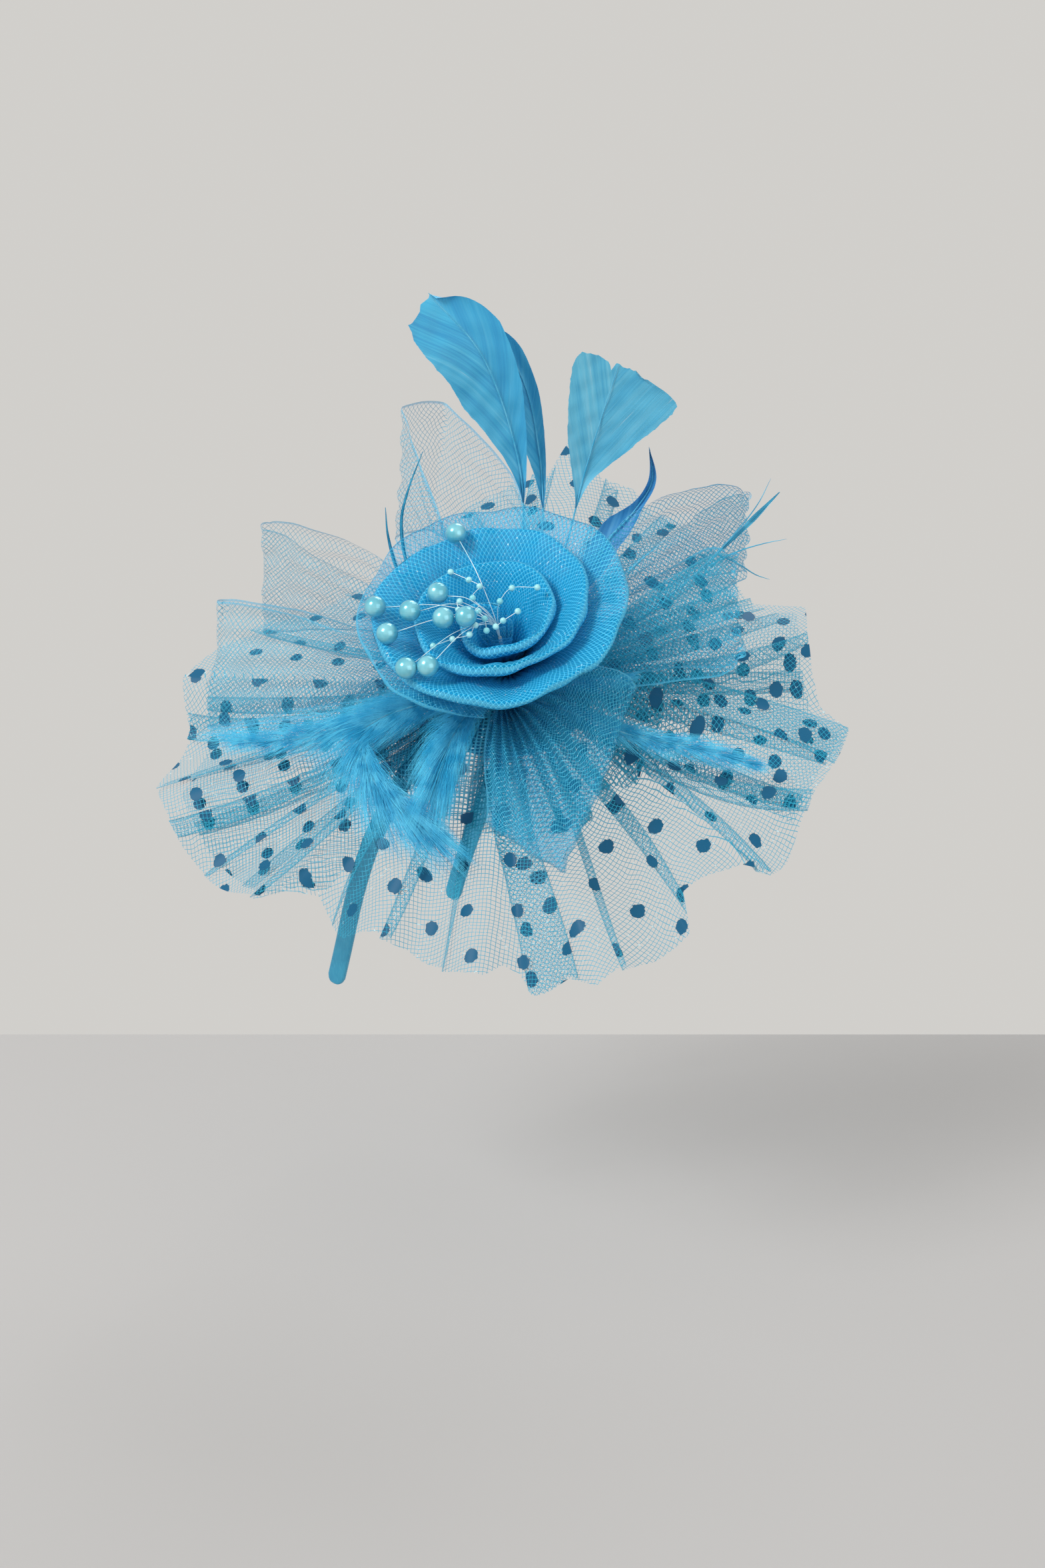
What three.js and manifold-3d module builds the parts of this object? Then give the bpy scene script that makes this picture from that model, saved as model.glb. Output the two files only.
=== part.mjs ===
// A fascinator on a narrow satin headband, in millimetres, +Z up as it is worn.
// The origin is where the band sits on the crown of the head, on its inner face.
// +X is the wearer's front and +Y the wearer's left.
import * as THREE from 'three';
import Module from 'manifold-3d';
import { mergeVertices } from 'three/addons/utils/BufferGeometryUtils.js';

const rad = THREE.MathUtils.degToRad;
const GAP = 0.3;

// The headband, a flat strip bent into an arch.
const BAND = {
  width: 9, thickness: 2.6, corner: 0.8,
  halfWidth: 68, crown: 82, drop: 164, legCurve: 150, legBow: 10, tipFlare: 5, flareStart: 34,
  leanBack: 25, steps: 48,
};

// The flower's own frame: u to the wearer's front, v up and back, n out of the flower.
const FLOWER = { x: 18.4, y: -31.7, z: -3.5, tiltUp: 35, turn: 13 };

// The felt disc that everything is sewn to.
const DISC = { radius: 38, thickness: 1.9, dome: 140, seat: 0.9, rings: 4, steps: 28 };

// The gathered veil. It lies flat on the disc, and droops and folds out to its cut edge.
const VEIL = {
  wall: 1, hub: 6, hubHeight: 3.7, flat: 20, steps: 80, rows: 7, droopPower: 1.1, foldPower: 2.4,
};
const VEIL_FOLDS = [
  { at: -180, reach: 152, edge: -14, fold: 8 },
  { at: -168, reach: 160, edge: -24, fold: -7 },
  { at: -157, reach: 171, edge: -26, fold: 7 },
  { at: -144, reach: 150, edge: -34, fold: -9 },
  { at: -132, reach: 147, edge: -36, fold: 8 },
  { at: -120, reach: 130, edge: -36, fold: -8 },
  { at: -110, reach: 132, edge: -36, fold: 7 },
  { at: -99, reach: 128, edge: -36, fold: -8 },
  { at: -88, reach: 138, edge: -36, fold: 8 },
  { at: -77, reach: 133, edge: -36, fold: -8 },
  { at: -65, reach: 150, edge: -35, fold: 9 },
  { at: -53, reach: 138, edge: -36, fold: -8 },
  { at: -40, reach: 134, edge: -34, fold: 7 },
  { at: -27, reach: 140, edge: -32, fold: -8 },
  { at: -14, reach: 147, edge: -26, fold: 8 },
  { at: 1, reach: 151, edge: -18, fold: -7 },
  { at: 17, reach: 139, edge: -8, fold: 8 },
  { at: 33, reach: 124, edge: -8, fold: -5 },
  { at: 50, reach: 122, edge: -5, fold: 4 },
  { at: 68, reach: 122, edge: -2, fold: -7 },
  { at: 87, reach: 157, edge: 0, fold: 8 },
  { at: 108, reach: 136, edge: -14, fold: -5 },
  { at: 130, reach: 140, edge: -24, fold: 4 },
  { at: 154, reach: 148, edge: -14, fold: -6 },
];

// The rolled rose, one wall wound from its heart outwards. Each row is a quarter turn.
const ROSE = {
  wall: 1.2, firstAt: -270, foot: 3.4, footPitch: 2.9, footHeight: 12, flare: 1.75, stepsPerTurn: 26,
  rows: [0, 0.34, 0.7, 1],
};
const ROSE_RIM = [
  { radius: 8, height: 44 }, { radius: 14, height: 45 }, { radius: 20, height: 46 },
  { radius: 23.5, height: 48 }, { radius: 29, height: 50 }, { radius: 33, height: 51 },
  { radius: 35, height: 52 }, { radius: 38, height: 52 }, { radius: 47, height: 52 },
  { radius: 52.5, height: 51 }, { radius: 50, height: 51 }, { radius: 56, height: 52 },
  { radius: 60, height: 52 }, { radius: 58.5, height: 51 }, { radius: 56, height: 50 },
];

// The crin loops. Each is a closed ribbon, pinched at the heart and turned at its far edge.
// root and edge are that pinch and that turn, from the lower rim of the ribbon to the upper one,
// and left and right are its bulges, looking outwards. arch lifts the middle of a lying loop.
const LOOP = { wall: 1, pinch: 1.3, turn: 2.2, stations: 7, acrossRows: 4, rise: 1.7, belly: 1.2 };
const LOOPS = [
  {
    name: 'loop_left_high', root: [[-14, 6, 5.3], [-14, 6, 11.4]],
    edge: [[-117, 17, 8], [-107, 28, 70]],
    left: 4, right: 13,
  },
  {
    name: 'loop_left_low', root: [[-15, -1, 5.8], [-15, -1, 11.8]],
    edge: [[-133, -33, -3], [-126, 5, 45]],
    left: 10, right: 3,
  },
  {
    name: 'loop_top', root: [[-6, 14, 6.5], [-6, 14, 12.5]],
    edge: [[-57, 75, 15], [-50, 106, 72]],
    left: 4, right: 13, turn: 11.5, rise: 1.4,
  },
  {
    name: 'loop_right_high', root: [[13, 8, 5.3], [13, 8, 11.4]],
    edge: [[98, 68, 8], [102, 66, 71]],
    left: 15, right: 3, rise: 1.9,
  },
  {
    name: 'loop_right_low', root: [[15.5, 0, 5.3], [15.5, 0, 11.4]],
    edge: [[104, 14, 4], [98, 40, 58]],
    left: 3, right: 7,
  },
  {
    name: 'loop_front', root: [[-1, -16, 5.7], [9, -14, 5.9]],
    edge: [[8, -88, 8], [42, -104, 7], [52, -60, 17], [60, -13, 27]],
    left: 2, right: 6, rise: 1, arch: 9,
  },
];

// The feathers. path runs from the heart to the tip, and widths are its vane either side of the quill.
const FEATHER = { quillDepth: 1.5, vaneDepth: 1.2, steps: 12, face: [0.2, -0.58, 0.79] };
const FEATHERS = [
  {
    name: 'feather_tall_left',
    path: [
      [1, 15, 5.3], [0, 42, 15], [-1, 64, 30], [-2, 80, 55], [-11, 95, 94], [-20, 102, 113],
      [-39, 111, 132],
    ],
    vane: [
      { at: 0.42, left: 0.8, right: 0.8 }, { at: 0.55, left: 6, right: 5 },
      { at: 0.7, left: 17, right: 11 }, { at: 0.86, left: 20, right: 15 },
      { at: 0.94, left: 18, right: 11 }, { at: 1, left: 11, right: 1 },
    ],
  },
  {
    name: 'feather_tall_right',
    path: [
      [4.5, 15, 5.3], [5, 44, 14], [6, 70, 25], [5, 88, 40], [4, 95, 61], [1, 102, 83],
      [-6, 108, 101], [-15, 114, 111],
    ],
    vane: [
      { at: 0.46, left: 0.8, right: 0.8 }, { at: 0.62, left: 6, right: 3 },
      { at: 0.8, left: 12, right: 5 }, { at: 0.93, left: 11, right: 6 },
      { at: 1, left: 5, right: 3 },
    ],
  },
  {
    name: 'feather_wedge',
    path: [
      [8, 13, 5.3], [12, 40, 13], [19, 68, 27], [25, 85, 47], [34, 94, 74], [44, 103, 102],
    ],
    vane: [
      { at: 0.5, left: 0.8, right: 0.8 }, { at: 0.58, left: 3, right: 3 },
      { at: 0.86, left: 12, right: 25 }, { at: 0.94, left: 13.5, right: 30 },
      { at: 1, left: 15, right: 14 },
    ],
  },
  {
    name: 'feather_blue',
    path: [
      [10.5, 11, 5.3], [24, 40, 13], [37, 70, 24], [48, 83, 31], [56, 90, 43], [55, 97, 58],
    ],
    vane: [
      { at: 0.3, left: 0.8, right: 0.8 }, { at: 0.5, left: 8, right: 8 },
      { at: 0.65, left: 9, right: 8 }, { at: 0.78, left: 3, right: 3 },
      { at: 0.9, left: 2, right: 2 }, { at: 1, left: 0.6, right: 0.6 },
    ],
  },
  {
    name: 'biot_left_long',
    path: [
      [-11, 10.5, 5.3], [-34, 26, 12], [-50, 40, 29], [-53, 51, 50], [-49, 58, 64], [-41, 66, 81],
    ],
    vane: [
      { at: 0.4, left: 0.8, right: 0.8 }, { at: 0.6, left: 2, right: 2 },
      { at: 1, left: 0.6, right: 0.6 },
    ],
  },
  {
    name: 'biot_left_short',
    path: [
      [-13, 9, 5.3], [-37, 22, 12], [-54, 37, 30], [-58, 44, 48], [-58, 49, 62],
    ],
    vane: [
      { at: 0.5, left: 0.8, right: 0.8 }, { at: 0.7, left: 1.6, right: 1.6 },
      { at: 1, left: 0.6, right: 0.6 },
    ],
  },
  {
    name: 'biot_right_long',
    path: [
      [15, 4.2, 5.3], [52, 20, 20], [84, 37, 42], [100, 53, 50], [117, 70, 60],
    ],
    vane: [
      { at: 0.75, left: 0.8, right: 0.8 }, { at: 0.88, left: 1.9, right: 1.9 },
      { at: 1, left: 0.6, right: 0.6 },
    ],
  },
];

// The fluffy plumes, each a fan of locks on a quill.
const PLUME = { depth: 2.4, notch: 0.62, steps: 14 };
const PLUMES = [
  {
    name: 'plume_left',
    path: [
      [-14, -7, 4.6], [-36, -26, 9], [-66, -46, 4], [-96, -56, -1], [-124, -57, -5],
    ],
    vane: [
      { at: 0.15, left: 0.8, right: 0.8 }, { at: 0.4, left: 9, right: 9 },
      { at: 0.75, left: 9, right: 9 }, { at: 1, left: 2, right: 2 },
    ],
  },
  {
    name: 'plume_curled',
    path: [
      [-10, -12, 4.6], [-36, -28, 17], [-56, -42, 15], [-50, -62, 9], [-34, -76, 4], [-16, -86, -3],
    ],
    vane: [
      { at: 0.2, left: 0.8, right: 0.8 }, { at: 0.45, left: 9, right: 10 },
      { at: 0.75, left: 8, right: 10 }, { at: 1, left: 1.5, right: 1.5 },
    ],
  },
  {
    name: 'plume_front',
    path: [
      [-5, -15.5, 4.6], [-10, -28, 17], [-15, -44, 18], [-18, -58, 14], [-21, -70, 8],
    ],
    vane: [
      { at: 0.18, left: 0.8, right: 0.8 }, { at: 0.4, left: 7, right: 6 },
      { at: 0.75, left: 5, right: 5 }, { at: 1, left: 1.2, right: 1.2 },
    ],
  },
  {
    name: 'plume_right',
    path: [
      [13.5, -10, 4.6], [36, -22, 10], [62, -31, 9], [88, -32, 4], [116, -34, -3],
    ],
    vane: [
      { at: 0.2, left: 0.8, right: 0.8 }, { at: 0.45, left: 6, right: 6 },
      { at: 0.75, left: 6, right: 6 }, { at: 1, left: 1.2, right: 1.2 },
    ],
  },
  {
    name: 'plume_right_short',
    path: [
      [15, -5, 4.6], [30, -9, 14], [45, -9, 17], [59, -5, 18],
    ],
    vane: [
      { at: 0.2, left: 0.8, right: 0.8 }, { at: 0.5, left: 3, right: 4 },
      { at: 1, left: 1.2, right: 1.2 },
    ],
  },
];

// The pearls, on wires that fan out of the rose's heart, and strings of small pearls over the cup.
const PEARL = { radius: 4.75, sides: 12, rows: 6 };
const PEARLS = [
  { u: -24.1, v: 39.2, n: 57.5 }, { u: -25.3, v: 3.4, n: 57.5 }, { u: -51.5, v: -6.4, n: 57.5 },
  { u: -34.4, v: -10.8, n: 61 }, { u: -18.8, v: -14.4, n: 61.5 }, { u: -9.0, v: -13.0, n: 61.5 },
  { u: -42.9, v: -21.3, n: 57.5 }, { u: -30.6, v: -40.0, n: 57.5 }, { u: -21.4, v: -38.3, n: 57.5 },
];
const SPRAY = {
  wire: 0.5, sides: 4, stalk: 1.1, foot: 3.1, split: 34, overlap: 1, over: 49, fan: 0.1,
  bead: 1.75, beadSides: 10, beadRows: 3, height: 55,
};
const STRINGS = [
  [[-6, -4], [-2.6, -8], [-0.5, -14.7]],
  [[3.1, -12.2], [5.7, -8.6], [11.2, -2.8]],
  [[2.3, 2.4], [6.2, 10.5], [17.3, 11.5]],
  [[-10.1, 3.5], [-8.3, 10.5], [-13.8, 14], [-22.8, 18.2]],
  [[-5.9, -12], [-7.5, -17.4], [-14.5, -20.5], [-22.1, -24.9]],
  [[-15.5, 1.2], [-15.1, -3.7]],
];

const mats = {
  satin: new THREE.MeshStandardMaterial({ name: 'satin', color: 0x2f8fb5, roughness: 0.4, metalness: 0 }),
  felt: new THREE.MeshStandardMaterial({ name: 'felt', color: 0x2a86ac, roughness: 0.9, metalness: 0 }),
  net: new THREE.MeshStandardMaterial({ name: 'net', color: 0x8fd0e4, roughness: 0.6, metalness: 0 }),
  crin: new THREE.MeshStandardMaterial({ name: 'crin', color: 0x41b0dc, roughness: 0.45, metalness: 0 }),
  feather: new THREE.MeshStandardMaterial({ name: 'feather', color: 0x35a6d6, roughness: 0.7, metalness: 0 }),
  plume: new THREE.MeshStandardMaterial({ name: 'plume', color: 0x2ea9d2, roughness: 0.85, metalness: 0 }),
  pearl: new THREE.MeshStandardMaterial({ name: 'pearl', color: 0x8fdde3, roughness: 0.2, metalness: 0 }),
  wire: new THREE.MeshStandardMaterial({ name: 'wire', color: 0xd8eef2, roughness: 0.25, metalness: 0 }),
};

// Surface helpers.

function meshOf(name, positions, indices, material) {
  const geometry = new THREE.BufferGeometry();
  geometry.setAttribute('position', new THREE.Float32BufferAttribute(positions, 3));
  geometry.setIndex(indices);
  facesOut(geometry);
  geometry.computeVertexNormals();
  const mesh = new THREE.Mesh(geometry, material);
  mesh.name = name;
  return mesh;
}

function facesOut(geometry) {
  const p = geometry.attributes.position;
  const index = geometry.index.array;
  const [a, b, c] = [new THREE.Vector3(), new THREE.Vector3(), new THREE.Vector3()];
  let volume = 0;
  for (let i = 0; i < index.length; i += 3) {
    a.fromBufferAttribute(p, index[i]);
    b.fromBufferAttribute(p, index[i + 1]);
    c.fromBufferAttribute(p, index[i + 2]);
    volume += a.dot(b.cross(c));
  }
  if (volume > 0) return;
  for (let i = 0; i < index.length; i += 3) [index[i + 1], index[i + 2]] = [index[i + 2], index[i + 1]];
}

// A wall of even thickness over a grid of points. pointAt(i, j) gives the middle surface.
function wallOver(name, columns, rows, closed, thickness, pointAt, material) {
  const mid = [];
  for (let i = 0; i < columns; i += 1) {
    mid.push([]);
    for (let j = 0; j < rows; j += 1) mid[i].push(pointAt(i, j));
  }
  const wrap = (i) => (closed ? (i + columns) % columns : Math.min(Math.max(i, 0), columns - 1));
  const positions = [];
  for (const side of [0.5, -0.5]) {
    for (let i = 0; i < columns; i += 1) {
      for (let j = 0; j < rows; j += 1) {
        const along = mid[wrap(i + 1)][j].clone().sub(mid[wrap(i - 1)][j]);
        const across = mid[i][Math.min(j + 1, rows - 1)].clone().sub(mid[i][Math.max(j - 1, 0)]);
        const normal = along.cross(across).normalize();
        const p = mid[i][j].clone().addScaledVector(normal, side * thickness);
        positions.push(p.x, p.y, p.z);
      }
    }
  }
  const top = (i, j) => wrap(i) * rows + j;
  const under = (i, j) => columns * rows + wrap(i) * rows + j;
  const indices = [];
  const quad = (a, b, c, d) => indices.push(a, b, c, a, c, d);
  const spans = closed ? columns : columns - 1;
  for (let i = 0; i < spans; i += 1) {
    for (let j = 0; j < rows - 1; j += 1) {
      quad(top(i, j), top(i + 1, j), top(i + 1, j + 1), top(i, j + 1));
      quad(under(i, j), under(i, j + 1), under(i + 1, j + 1), under(i + 1, j));
    }
    quad(top(i, 0), under(i, 0), under(i + 1, 0), top(i + 1, 0));
    quad(top(i, rows - 1), top(i + 1, rows - 1), under(i + 1, rows - 1), under(i, rows - 1));
  }
  if (!closed) {
    for (let j = 0; j < rows - 1; j += 1) {
      quad(top(0, j), top(0, j + 1), under(0, j + 1), under(0, j));
      quad(top(spans, j), under(spans, j), under(spans, j + 1), top(spans, j + 1));
    }
  }
  return meshOf(name, positions, indices, material);
}

// A smooth value between table rows that go once round a circle.
function roundTable(rows, key, degrees) {
  let at = degrees;
  while (at < rows[0].at) at += 360;
  while (at >= rows[0].at + 360) at -= 360;
  let i = rows.length - 1;
  while (rows[i].at > at) i -= 1;
  const here = rows[i];
  const next = rows[(i + 1) % rows.length];
  const end = i + 1 < rows.length ? next.at : next.at + 360;
  const s = (at - here.at) / (end - here.at);
  return THREE.MathUtils.lerp(here[key], next[key], (1 - Math.cos(Math.PI * s)) / 2);
}

// The band.

function bandOutline() {
  const w = BAND.width / 2;
  const t = BAND.thickness / 2;
  const c = BAND.corner;
  return new THREE.Shape([
    [-w, -t + c], [-w + c, -t], [w - c, -t], [w, -t + c], [w, t - c], [w - c, t], [-w + c, t], [-w, t - c],
  ].map(([x, y]) => new THREE.Vector2(x, y)));
}

function bandSide(side) {
  const points = [];
  const legs = 12;
  for (let i = legs; i >= 1; i -= 1) {
    const down = ((BAND.drop - BAND.crown) * i) / legs;
    const inwards = BAND.halfWidth * (1 - Math.sqrt(1 - (down / BAND.legCurve) ** 2));
    const nearTip = Math.max(0, 1 - (BAND.drop - BAND.crown - down) / BAND.flareStart);
    const y = BAND.halfWidth - inwards + BAND.tipFlare * nearTip ** 2;
    const bow = BAND.legBow * (down / (BAND.drop - BAND.crown)) ** 1.4;
    points.push(new THREE.Vector3(bow, side * y, BAND.thickness / 2 - BAND.crown - down));
  }
  return points;
}

function headband() {
  const arch = [];
  const archSteps = 24;
  for (let i = 0; i <= archSteps; i += 1) {
    const t = (Math.PI * i) / archSteps;
    const y = -BAND.halfWidth * Math.cos(t);
    const z = BAND.thickness / 2 - BAND.crown + BAND.crown * Math.sin(t);
    arch.push(new THREE.Vector3(0, y, z));
  }
  const path = new THREE.CatmullRomCurve3([...bandSide(-1), ...arch, ...bandSide(1).reverse()]);
  const geometry = new THREE.ExtrudeGeometry(bandOutline(), {
    steps: BAND.steps, extrudePath: path, bevelEnabled: false,
  });
  const mesh = new THREE.Mesh(geometry, mats.satin);
  mesh.name = 'headband';
  mesh.rotation.y = rad(BAND.leanBack);
  return mesh;
}

// The base disc, a shallow dome with a closed middle.

function baseDisc() {
  const outline = [];
  const points = [];
  for (let j = 0; j <= DISC.rings; j += 1) points.push((DISC.radius * j) / DISC.rings);
  const sag = (r) => DISC.dome - Math.sqrt(DISC.dome ** 2 - r ** 2);
  for (const r of points) outline.push(new THREE.Vector2(r, -sag(r)));
  for (const r of points.reverse()) outline.push(new THREE.Vector2(r, DISC.thickness - sag(r)));
  outline.push(outline[0].clone());
  const geometry = new THREE.LatheGeometry(outline, DISC.steps);
  geometry.rotateX(Math.PI / 2);
  const mesh = new THREE.Mesh(geometry, mats.felt);
  mesh.name = 'base_disc';
  mesh.position.z = DISC.seat;
  return mesh;
}

// The veil.

function veilPoint(degrees, s) {
  const reach = roundTable(VEIL_FOLDS, 'reach', degrees);
  const r = THREE.MathUtils.lerp(VEIL.hub, reach, s);
  const out = Math.max(0, (r - VEIL.flat) / (reach - VEIL.flat));
  const droop = roundTable(VEIL_FOLDS, 'edge', degrees) * out ** VEIL.droopPower;
  const fold = roundTable(VEIL_FOLDS, 'fold', degrees) * out ** VEIL.foldPower;
  const height = VEIL.hubHeight + droop + fold;
  return new THREE.Vector3(r * Math.cos(rad(degrees)), r * Math.sin(rad(degrees)), height);
}

function veilFrill() {
  const at = (i, j) => veilPoint((360 * i) / VEIL.steps, j / (VEIL.rows - 1));
  return wallOver('veil_frill', VEIL.steps, VEIL.rows, true, VEIL.wall, at, mats.net);
}

// The rose.

function roseRim(quarter, key) {
  const i = Math.min(Math.floor(quarter), ROSE_RIM.length - 2);
  const s = quarter - i;
  const from = ROSE_RIM[Math.max(i - 1, 0)][key];
  const to = ROSE_RIM[Math.min(i + 2, ROSE_RIM.length - 1)][key];
  const [a, b] = [ROSE_RIM[i][key], ROSE_RIM[i + 1][key]];
  const slopes = [(b - from) / 2, (to - a) / 2];
  return a * (2 * s ** 3 - 3 * s ** 2 + 1) + slopes[0] * (s ** 3 - 2 * s ** 2 + s)
    + b * (3 * s ** 2 - 2 * s ** 3) + slopes[1] * (s ** 3 - s ** 2);
}

function rose() {
  const quarters = ROSE_RIM.length - 1;
  const columns = Math.round((quarters * ROSE.stepsPerTurn) / 4) + 1;
  const at = (i, j) => {
    const quarter = (quarters * i) / (columns - 1);
    const angle = rad(ROSE.firstAt + 90 * quarter);
    const foot = ROSE.foot + (ROSE.footPitch * quarter) / 4;
    const up = ROSE.rows[j];
    const r = foot + (roseRim(quarter, 'radius') - foot) * up ** ROSE.flare;
    const height = THREE.MathUtils.lerp(ROSE.footHeight, roseRim(quarter, 'height'), up);
    return new THREE.Vector3(r * Math.cos(angle), r * Math.sin(angle), height);
  };
  return wallOver('rose', columns, ROSE.rows.length, false, ROSE.wall, at, mats.crin);
}

// The crin loops.

function loopOutline(loop) {
  const outline = [];
  const turn = loop.turn ?? LOOP.turn;
  const along = (i) => (1 - Math.cos((Math.PI * i) / LOOP.stations)) / 2;
  const half = (a, bulge) => {
    const taper = THREE.MathUtils.lerp(LOOP.pinch, turn, a);
    return taper + bulge * Math.sin(Math.PI * a) ** LOOP.belly;
  };
  for (let i = 0; i <= LOOP.stations; i += 1) outline.push({ a: along(i), side: half(along(i), loop.left) });
  outline.push({ a: 1, side: 0, past: LOOP.turn });
  for (let i = LOOP.stations; i >= 0; i -= 1) {
    outline.push({ a: along(i), side: -half(along(i), loop.right) });
  }
  outline.push({ a: 0, side: 0, past: -LOOP.pinch });
  return outline;
}

function alongLine(points, at) {
  const i = Math.min(Math.floor(at * (points.length - 1)), points.length - 2);
  return points[i].clone().lerp(points[i + 1], at * (points.length - 1) - i);
}

function crinLoop(loop) {
  const [root, edge] = [loop.root, loop.edge].map((points) => points.map((p) => new THREE.Vector3(...p)));
  const outline = loopOutline(loop);
  const across = edge.at(-1).clone().sub(edge[0]).normalize();
  const out = alongLine(edge, 0.5).sub(alongLine(root, 0.5)).normalize();
  const sideways = across.clone().cross(out).normalize();
  const at = (i, j) => {
    const { a, side, past = 0 } = outline[i];
    const up = j / (LOOP.acrossRows - 1);
    const rise = 1 - (1 - a) ** (loop.rise ?? LOOP.rise);
    const p = alongLine(root, up).lerp(alongLine(edge, up), a);
    p.z += up * (rise - a) * (edge.at(-1).z - root[1].z);
    p.z += (loop.arch ?? 0) * Math.sin(Math.PI * a);
    return p.addScaledVector(sideways, side).addScaledVector(out, past);
  };
  return wallOver(loop.name, outline.length, LOOP.acrossRows, true, LOOP.wall, at, mats.crin);
}

// The feathers and plumes, lofted through flat six-sided sections along the quill.

function tableAt(rows, key, at) {
  if (at <= rows[0].at) return rows[0][key];
  const i = rows.findIndex((row) => row.at >= at);
  const [from, to] = [rows[i - 1], rows[i]];
  return THREE.MathUtils.lerp(from[key], to[key], (at - from.at) / (to.at - from.at));
}

function quillLoft(name, sections, material) {
  const sides = sections[0].length;
  const positions = sections.flat().flatMap((p) => [p.x, p.y, p.z]);
  const indices = [];
  for (let i = 0; i < sections.length - 1; i += 1) {
    for (let k = 0; k < sides; k += 1) {
      const [a, b] = [i * sides + k, i * sides + ((k + 1) % sides)];
      indices.push(a, b, b + sides, a, b + sides, a + sides);
    }
  }
  const last = (sections.length - 1) * sides;
  for (let k = 1; k < sides - 1; k += 1) indices.push(0, k + 1, k, last, last + k, last + k + 1);
  return meshOf(name, positions, indices, material);
}

function feather(row, steps, depth, notch, material) {
  const points = row.path.map((p) => new THREE.Vector3(...p));
  const path = new THREE.CatmullRomCurve3(points, false, 'centripetal');
  const face = new THREE.Vector3(...FEATHER.face).normalize();
  const sections = [];
  for (let i = 0; i <= steps; i += 1) {
    const at = i / steps;
    const centre = path.getPointAt(at);
    const tangent = path.getTangentAt(at);
    const right = tangent.clone().cross(face).normalize();
    const up = right.clone().cross(tangent).normalize();
    const lock = i % 2 && at > row.vane[0].at ? notch : 1;
    const l = tableAt(row.vane, 'left', at) * lock;
    const r = tableAt(row.vane, 'right', at) * lock;
    const thick = (at > row.vane[0].at ? depth : FEATHER.quillDepth) / 2;
    const outline = [[-l, 0], [-l / 2, -thick], [r / 2, -thick], [r, 0], [r / 2, thick], [-l / 2, thick]];
    sections.push(outline.map(([x, y]) => centre.clone().addScaledVector(right, x).addScaledVector(up, y)));
  }
  return quillLoft(row.name, sections, material);
}

// The pearls and the wires that carry them.

function pearl(row, i) {
  const geometry = new THREE.SphereGeometry(PEARL.radius, PEARL.sides, PEARL.rows);
  const mesh = new THREE.Mesh(geometry, mats.pearl);
  mesh.name = `pearl_${i + 1}`;
  mesh.position.set(row.u, row.v, row.n);
  return mesh;
}

const wasm = await Module();
wasm.setup();

function solidOf(geometry) {
  const bare = geometry.clone();
  for (const key of Object.keys(bare.attributes)) if (key !== 'position') bare.deleteAttribute(key);
  const merged = mergeVertices(bare, 1e-4);
  const triangles = [];
  const index = merged.index.array;
  for (let i = 0; i < index.length; i += 3) {
    const [a, b, c] = [index[i], index[i + 1], index[i + 2]];
    if (a !== b && b !== c && c !== a) triangles.push(a, b, c);
  }
  return new wasm.Manifold(new wasm.Mesh({
    numProp: 3, vertProperties: merged.attributes.position.array, triVerts: new Uint32Array(triangles),
  }));
}

function rod(from, to, radius) {
  const [a, b] = [new THREE.Vector3(...from), new THREE.Vector3(...to)];
  const along = b.clone().sub(a);
  const geometry = new THREE.CylinderGeometry(radius, radius, along.length(), SPRAY.sides);
  const up = new THREE.Vector3(0, 1, 0);
  geometry.applyQuaternion(new THREE.Quaternion().setFromUnitVectors(up, along.normalize()));
  const middle = a.add(b).multiplyScalar(0.5);
  return solidOf(geometry.translate(middle.x, middle.y, middle.z));
}

function pearlSpray() {
  const top = [0, 0, SPRAY.split];
  let spray = rod([0, 0, SPRAY.foot], [0, 0, SPRAY.split + SPRAY.overlap], SPRAY.stalk);
  const wire = (points) => {
    for (let i = 1; i < points.length; i += 1) spray = spray.add(rod(points[i - 1], points[i], SPRAY.wire));
  };
  for (const { u, v, n } of PEARLS) {
    const over = new THREE.Vector3(SPRAY.fan * u, SPRAY.fan * v, SPRAY.over);
    const centre = new THREE.Vector3(u, v, n);
    const face = centre.clone().addScaledVector(over.clone().sub(centre).normalize(), PEARL.radius + GAP);
    wire([top, over.toArray(), face.toArray()]);
  }
  for (const beads of STRINGS) {
    wire([top, ...beads.map(([u, v]) => [u, v, SPRAY.height])]);
    for (const [u, v] of beads) {
      const bead = new THREE.SphereGeometry(SPRAY.bead, SPRAY.beadSides, SPRAY.beadRows);
      spray = spray.add(solidOf(bead.translate(u, v, SPRAY.height)));
    }
  }
  const mesh = spray.getMesh();
  return meshOf('pearl_spray', Array.from(mesh.vertProperties), Array.from(mesh.triVerts), mats.wire);
}

const flower = new THREE.Group();
flower.position.set(FLOWER.x, FLOWER.y, FLOWER.z);
flower.rotation.set(rad(FLOWER.tiltUp), 0, rad(FLOWER.turn), 'ZYX');
flower.add(baseDisc(), veilFrill(), rose());
for (const loop of LOOPS) flower.add(crinLoop(loop));
for (const row of FEATHERS) flower.add(feather(row, FEATHER.steps, FEATHER.vaneDepth, 1, mats.feather));
for (const row of PLUMES) flower.add(feather(row, PLUME.steps, PLUME.depth, PLUME.notch, mats.plume));
PEARLS.forEach((row, i) => flower.add(pearl(row, i)));
flower.add(pearlSpray());

const fascinator = new THREE.Group();
fascinator.name = 'fascinator_headband';
fascinator.add(headband(), flower);

export default fascinator;
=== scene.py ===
# %% [markdown]
# # A fascinator headband
# A fascinator is a light headpiece for weddings and races. This one is a rose of mesh ribbon with
# ribbon loops, feathers and a spray of pearls, sewn through a frill of dotted net to a felt disc on
# a narrow satin headband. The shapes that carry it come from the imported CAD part, and this lesson
# makes what the eye sees: mesh ribbon, net, barbs, pearls and satin.

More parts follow.
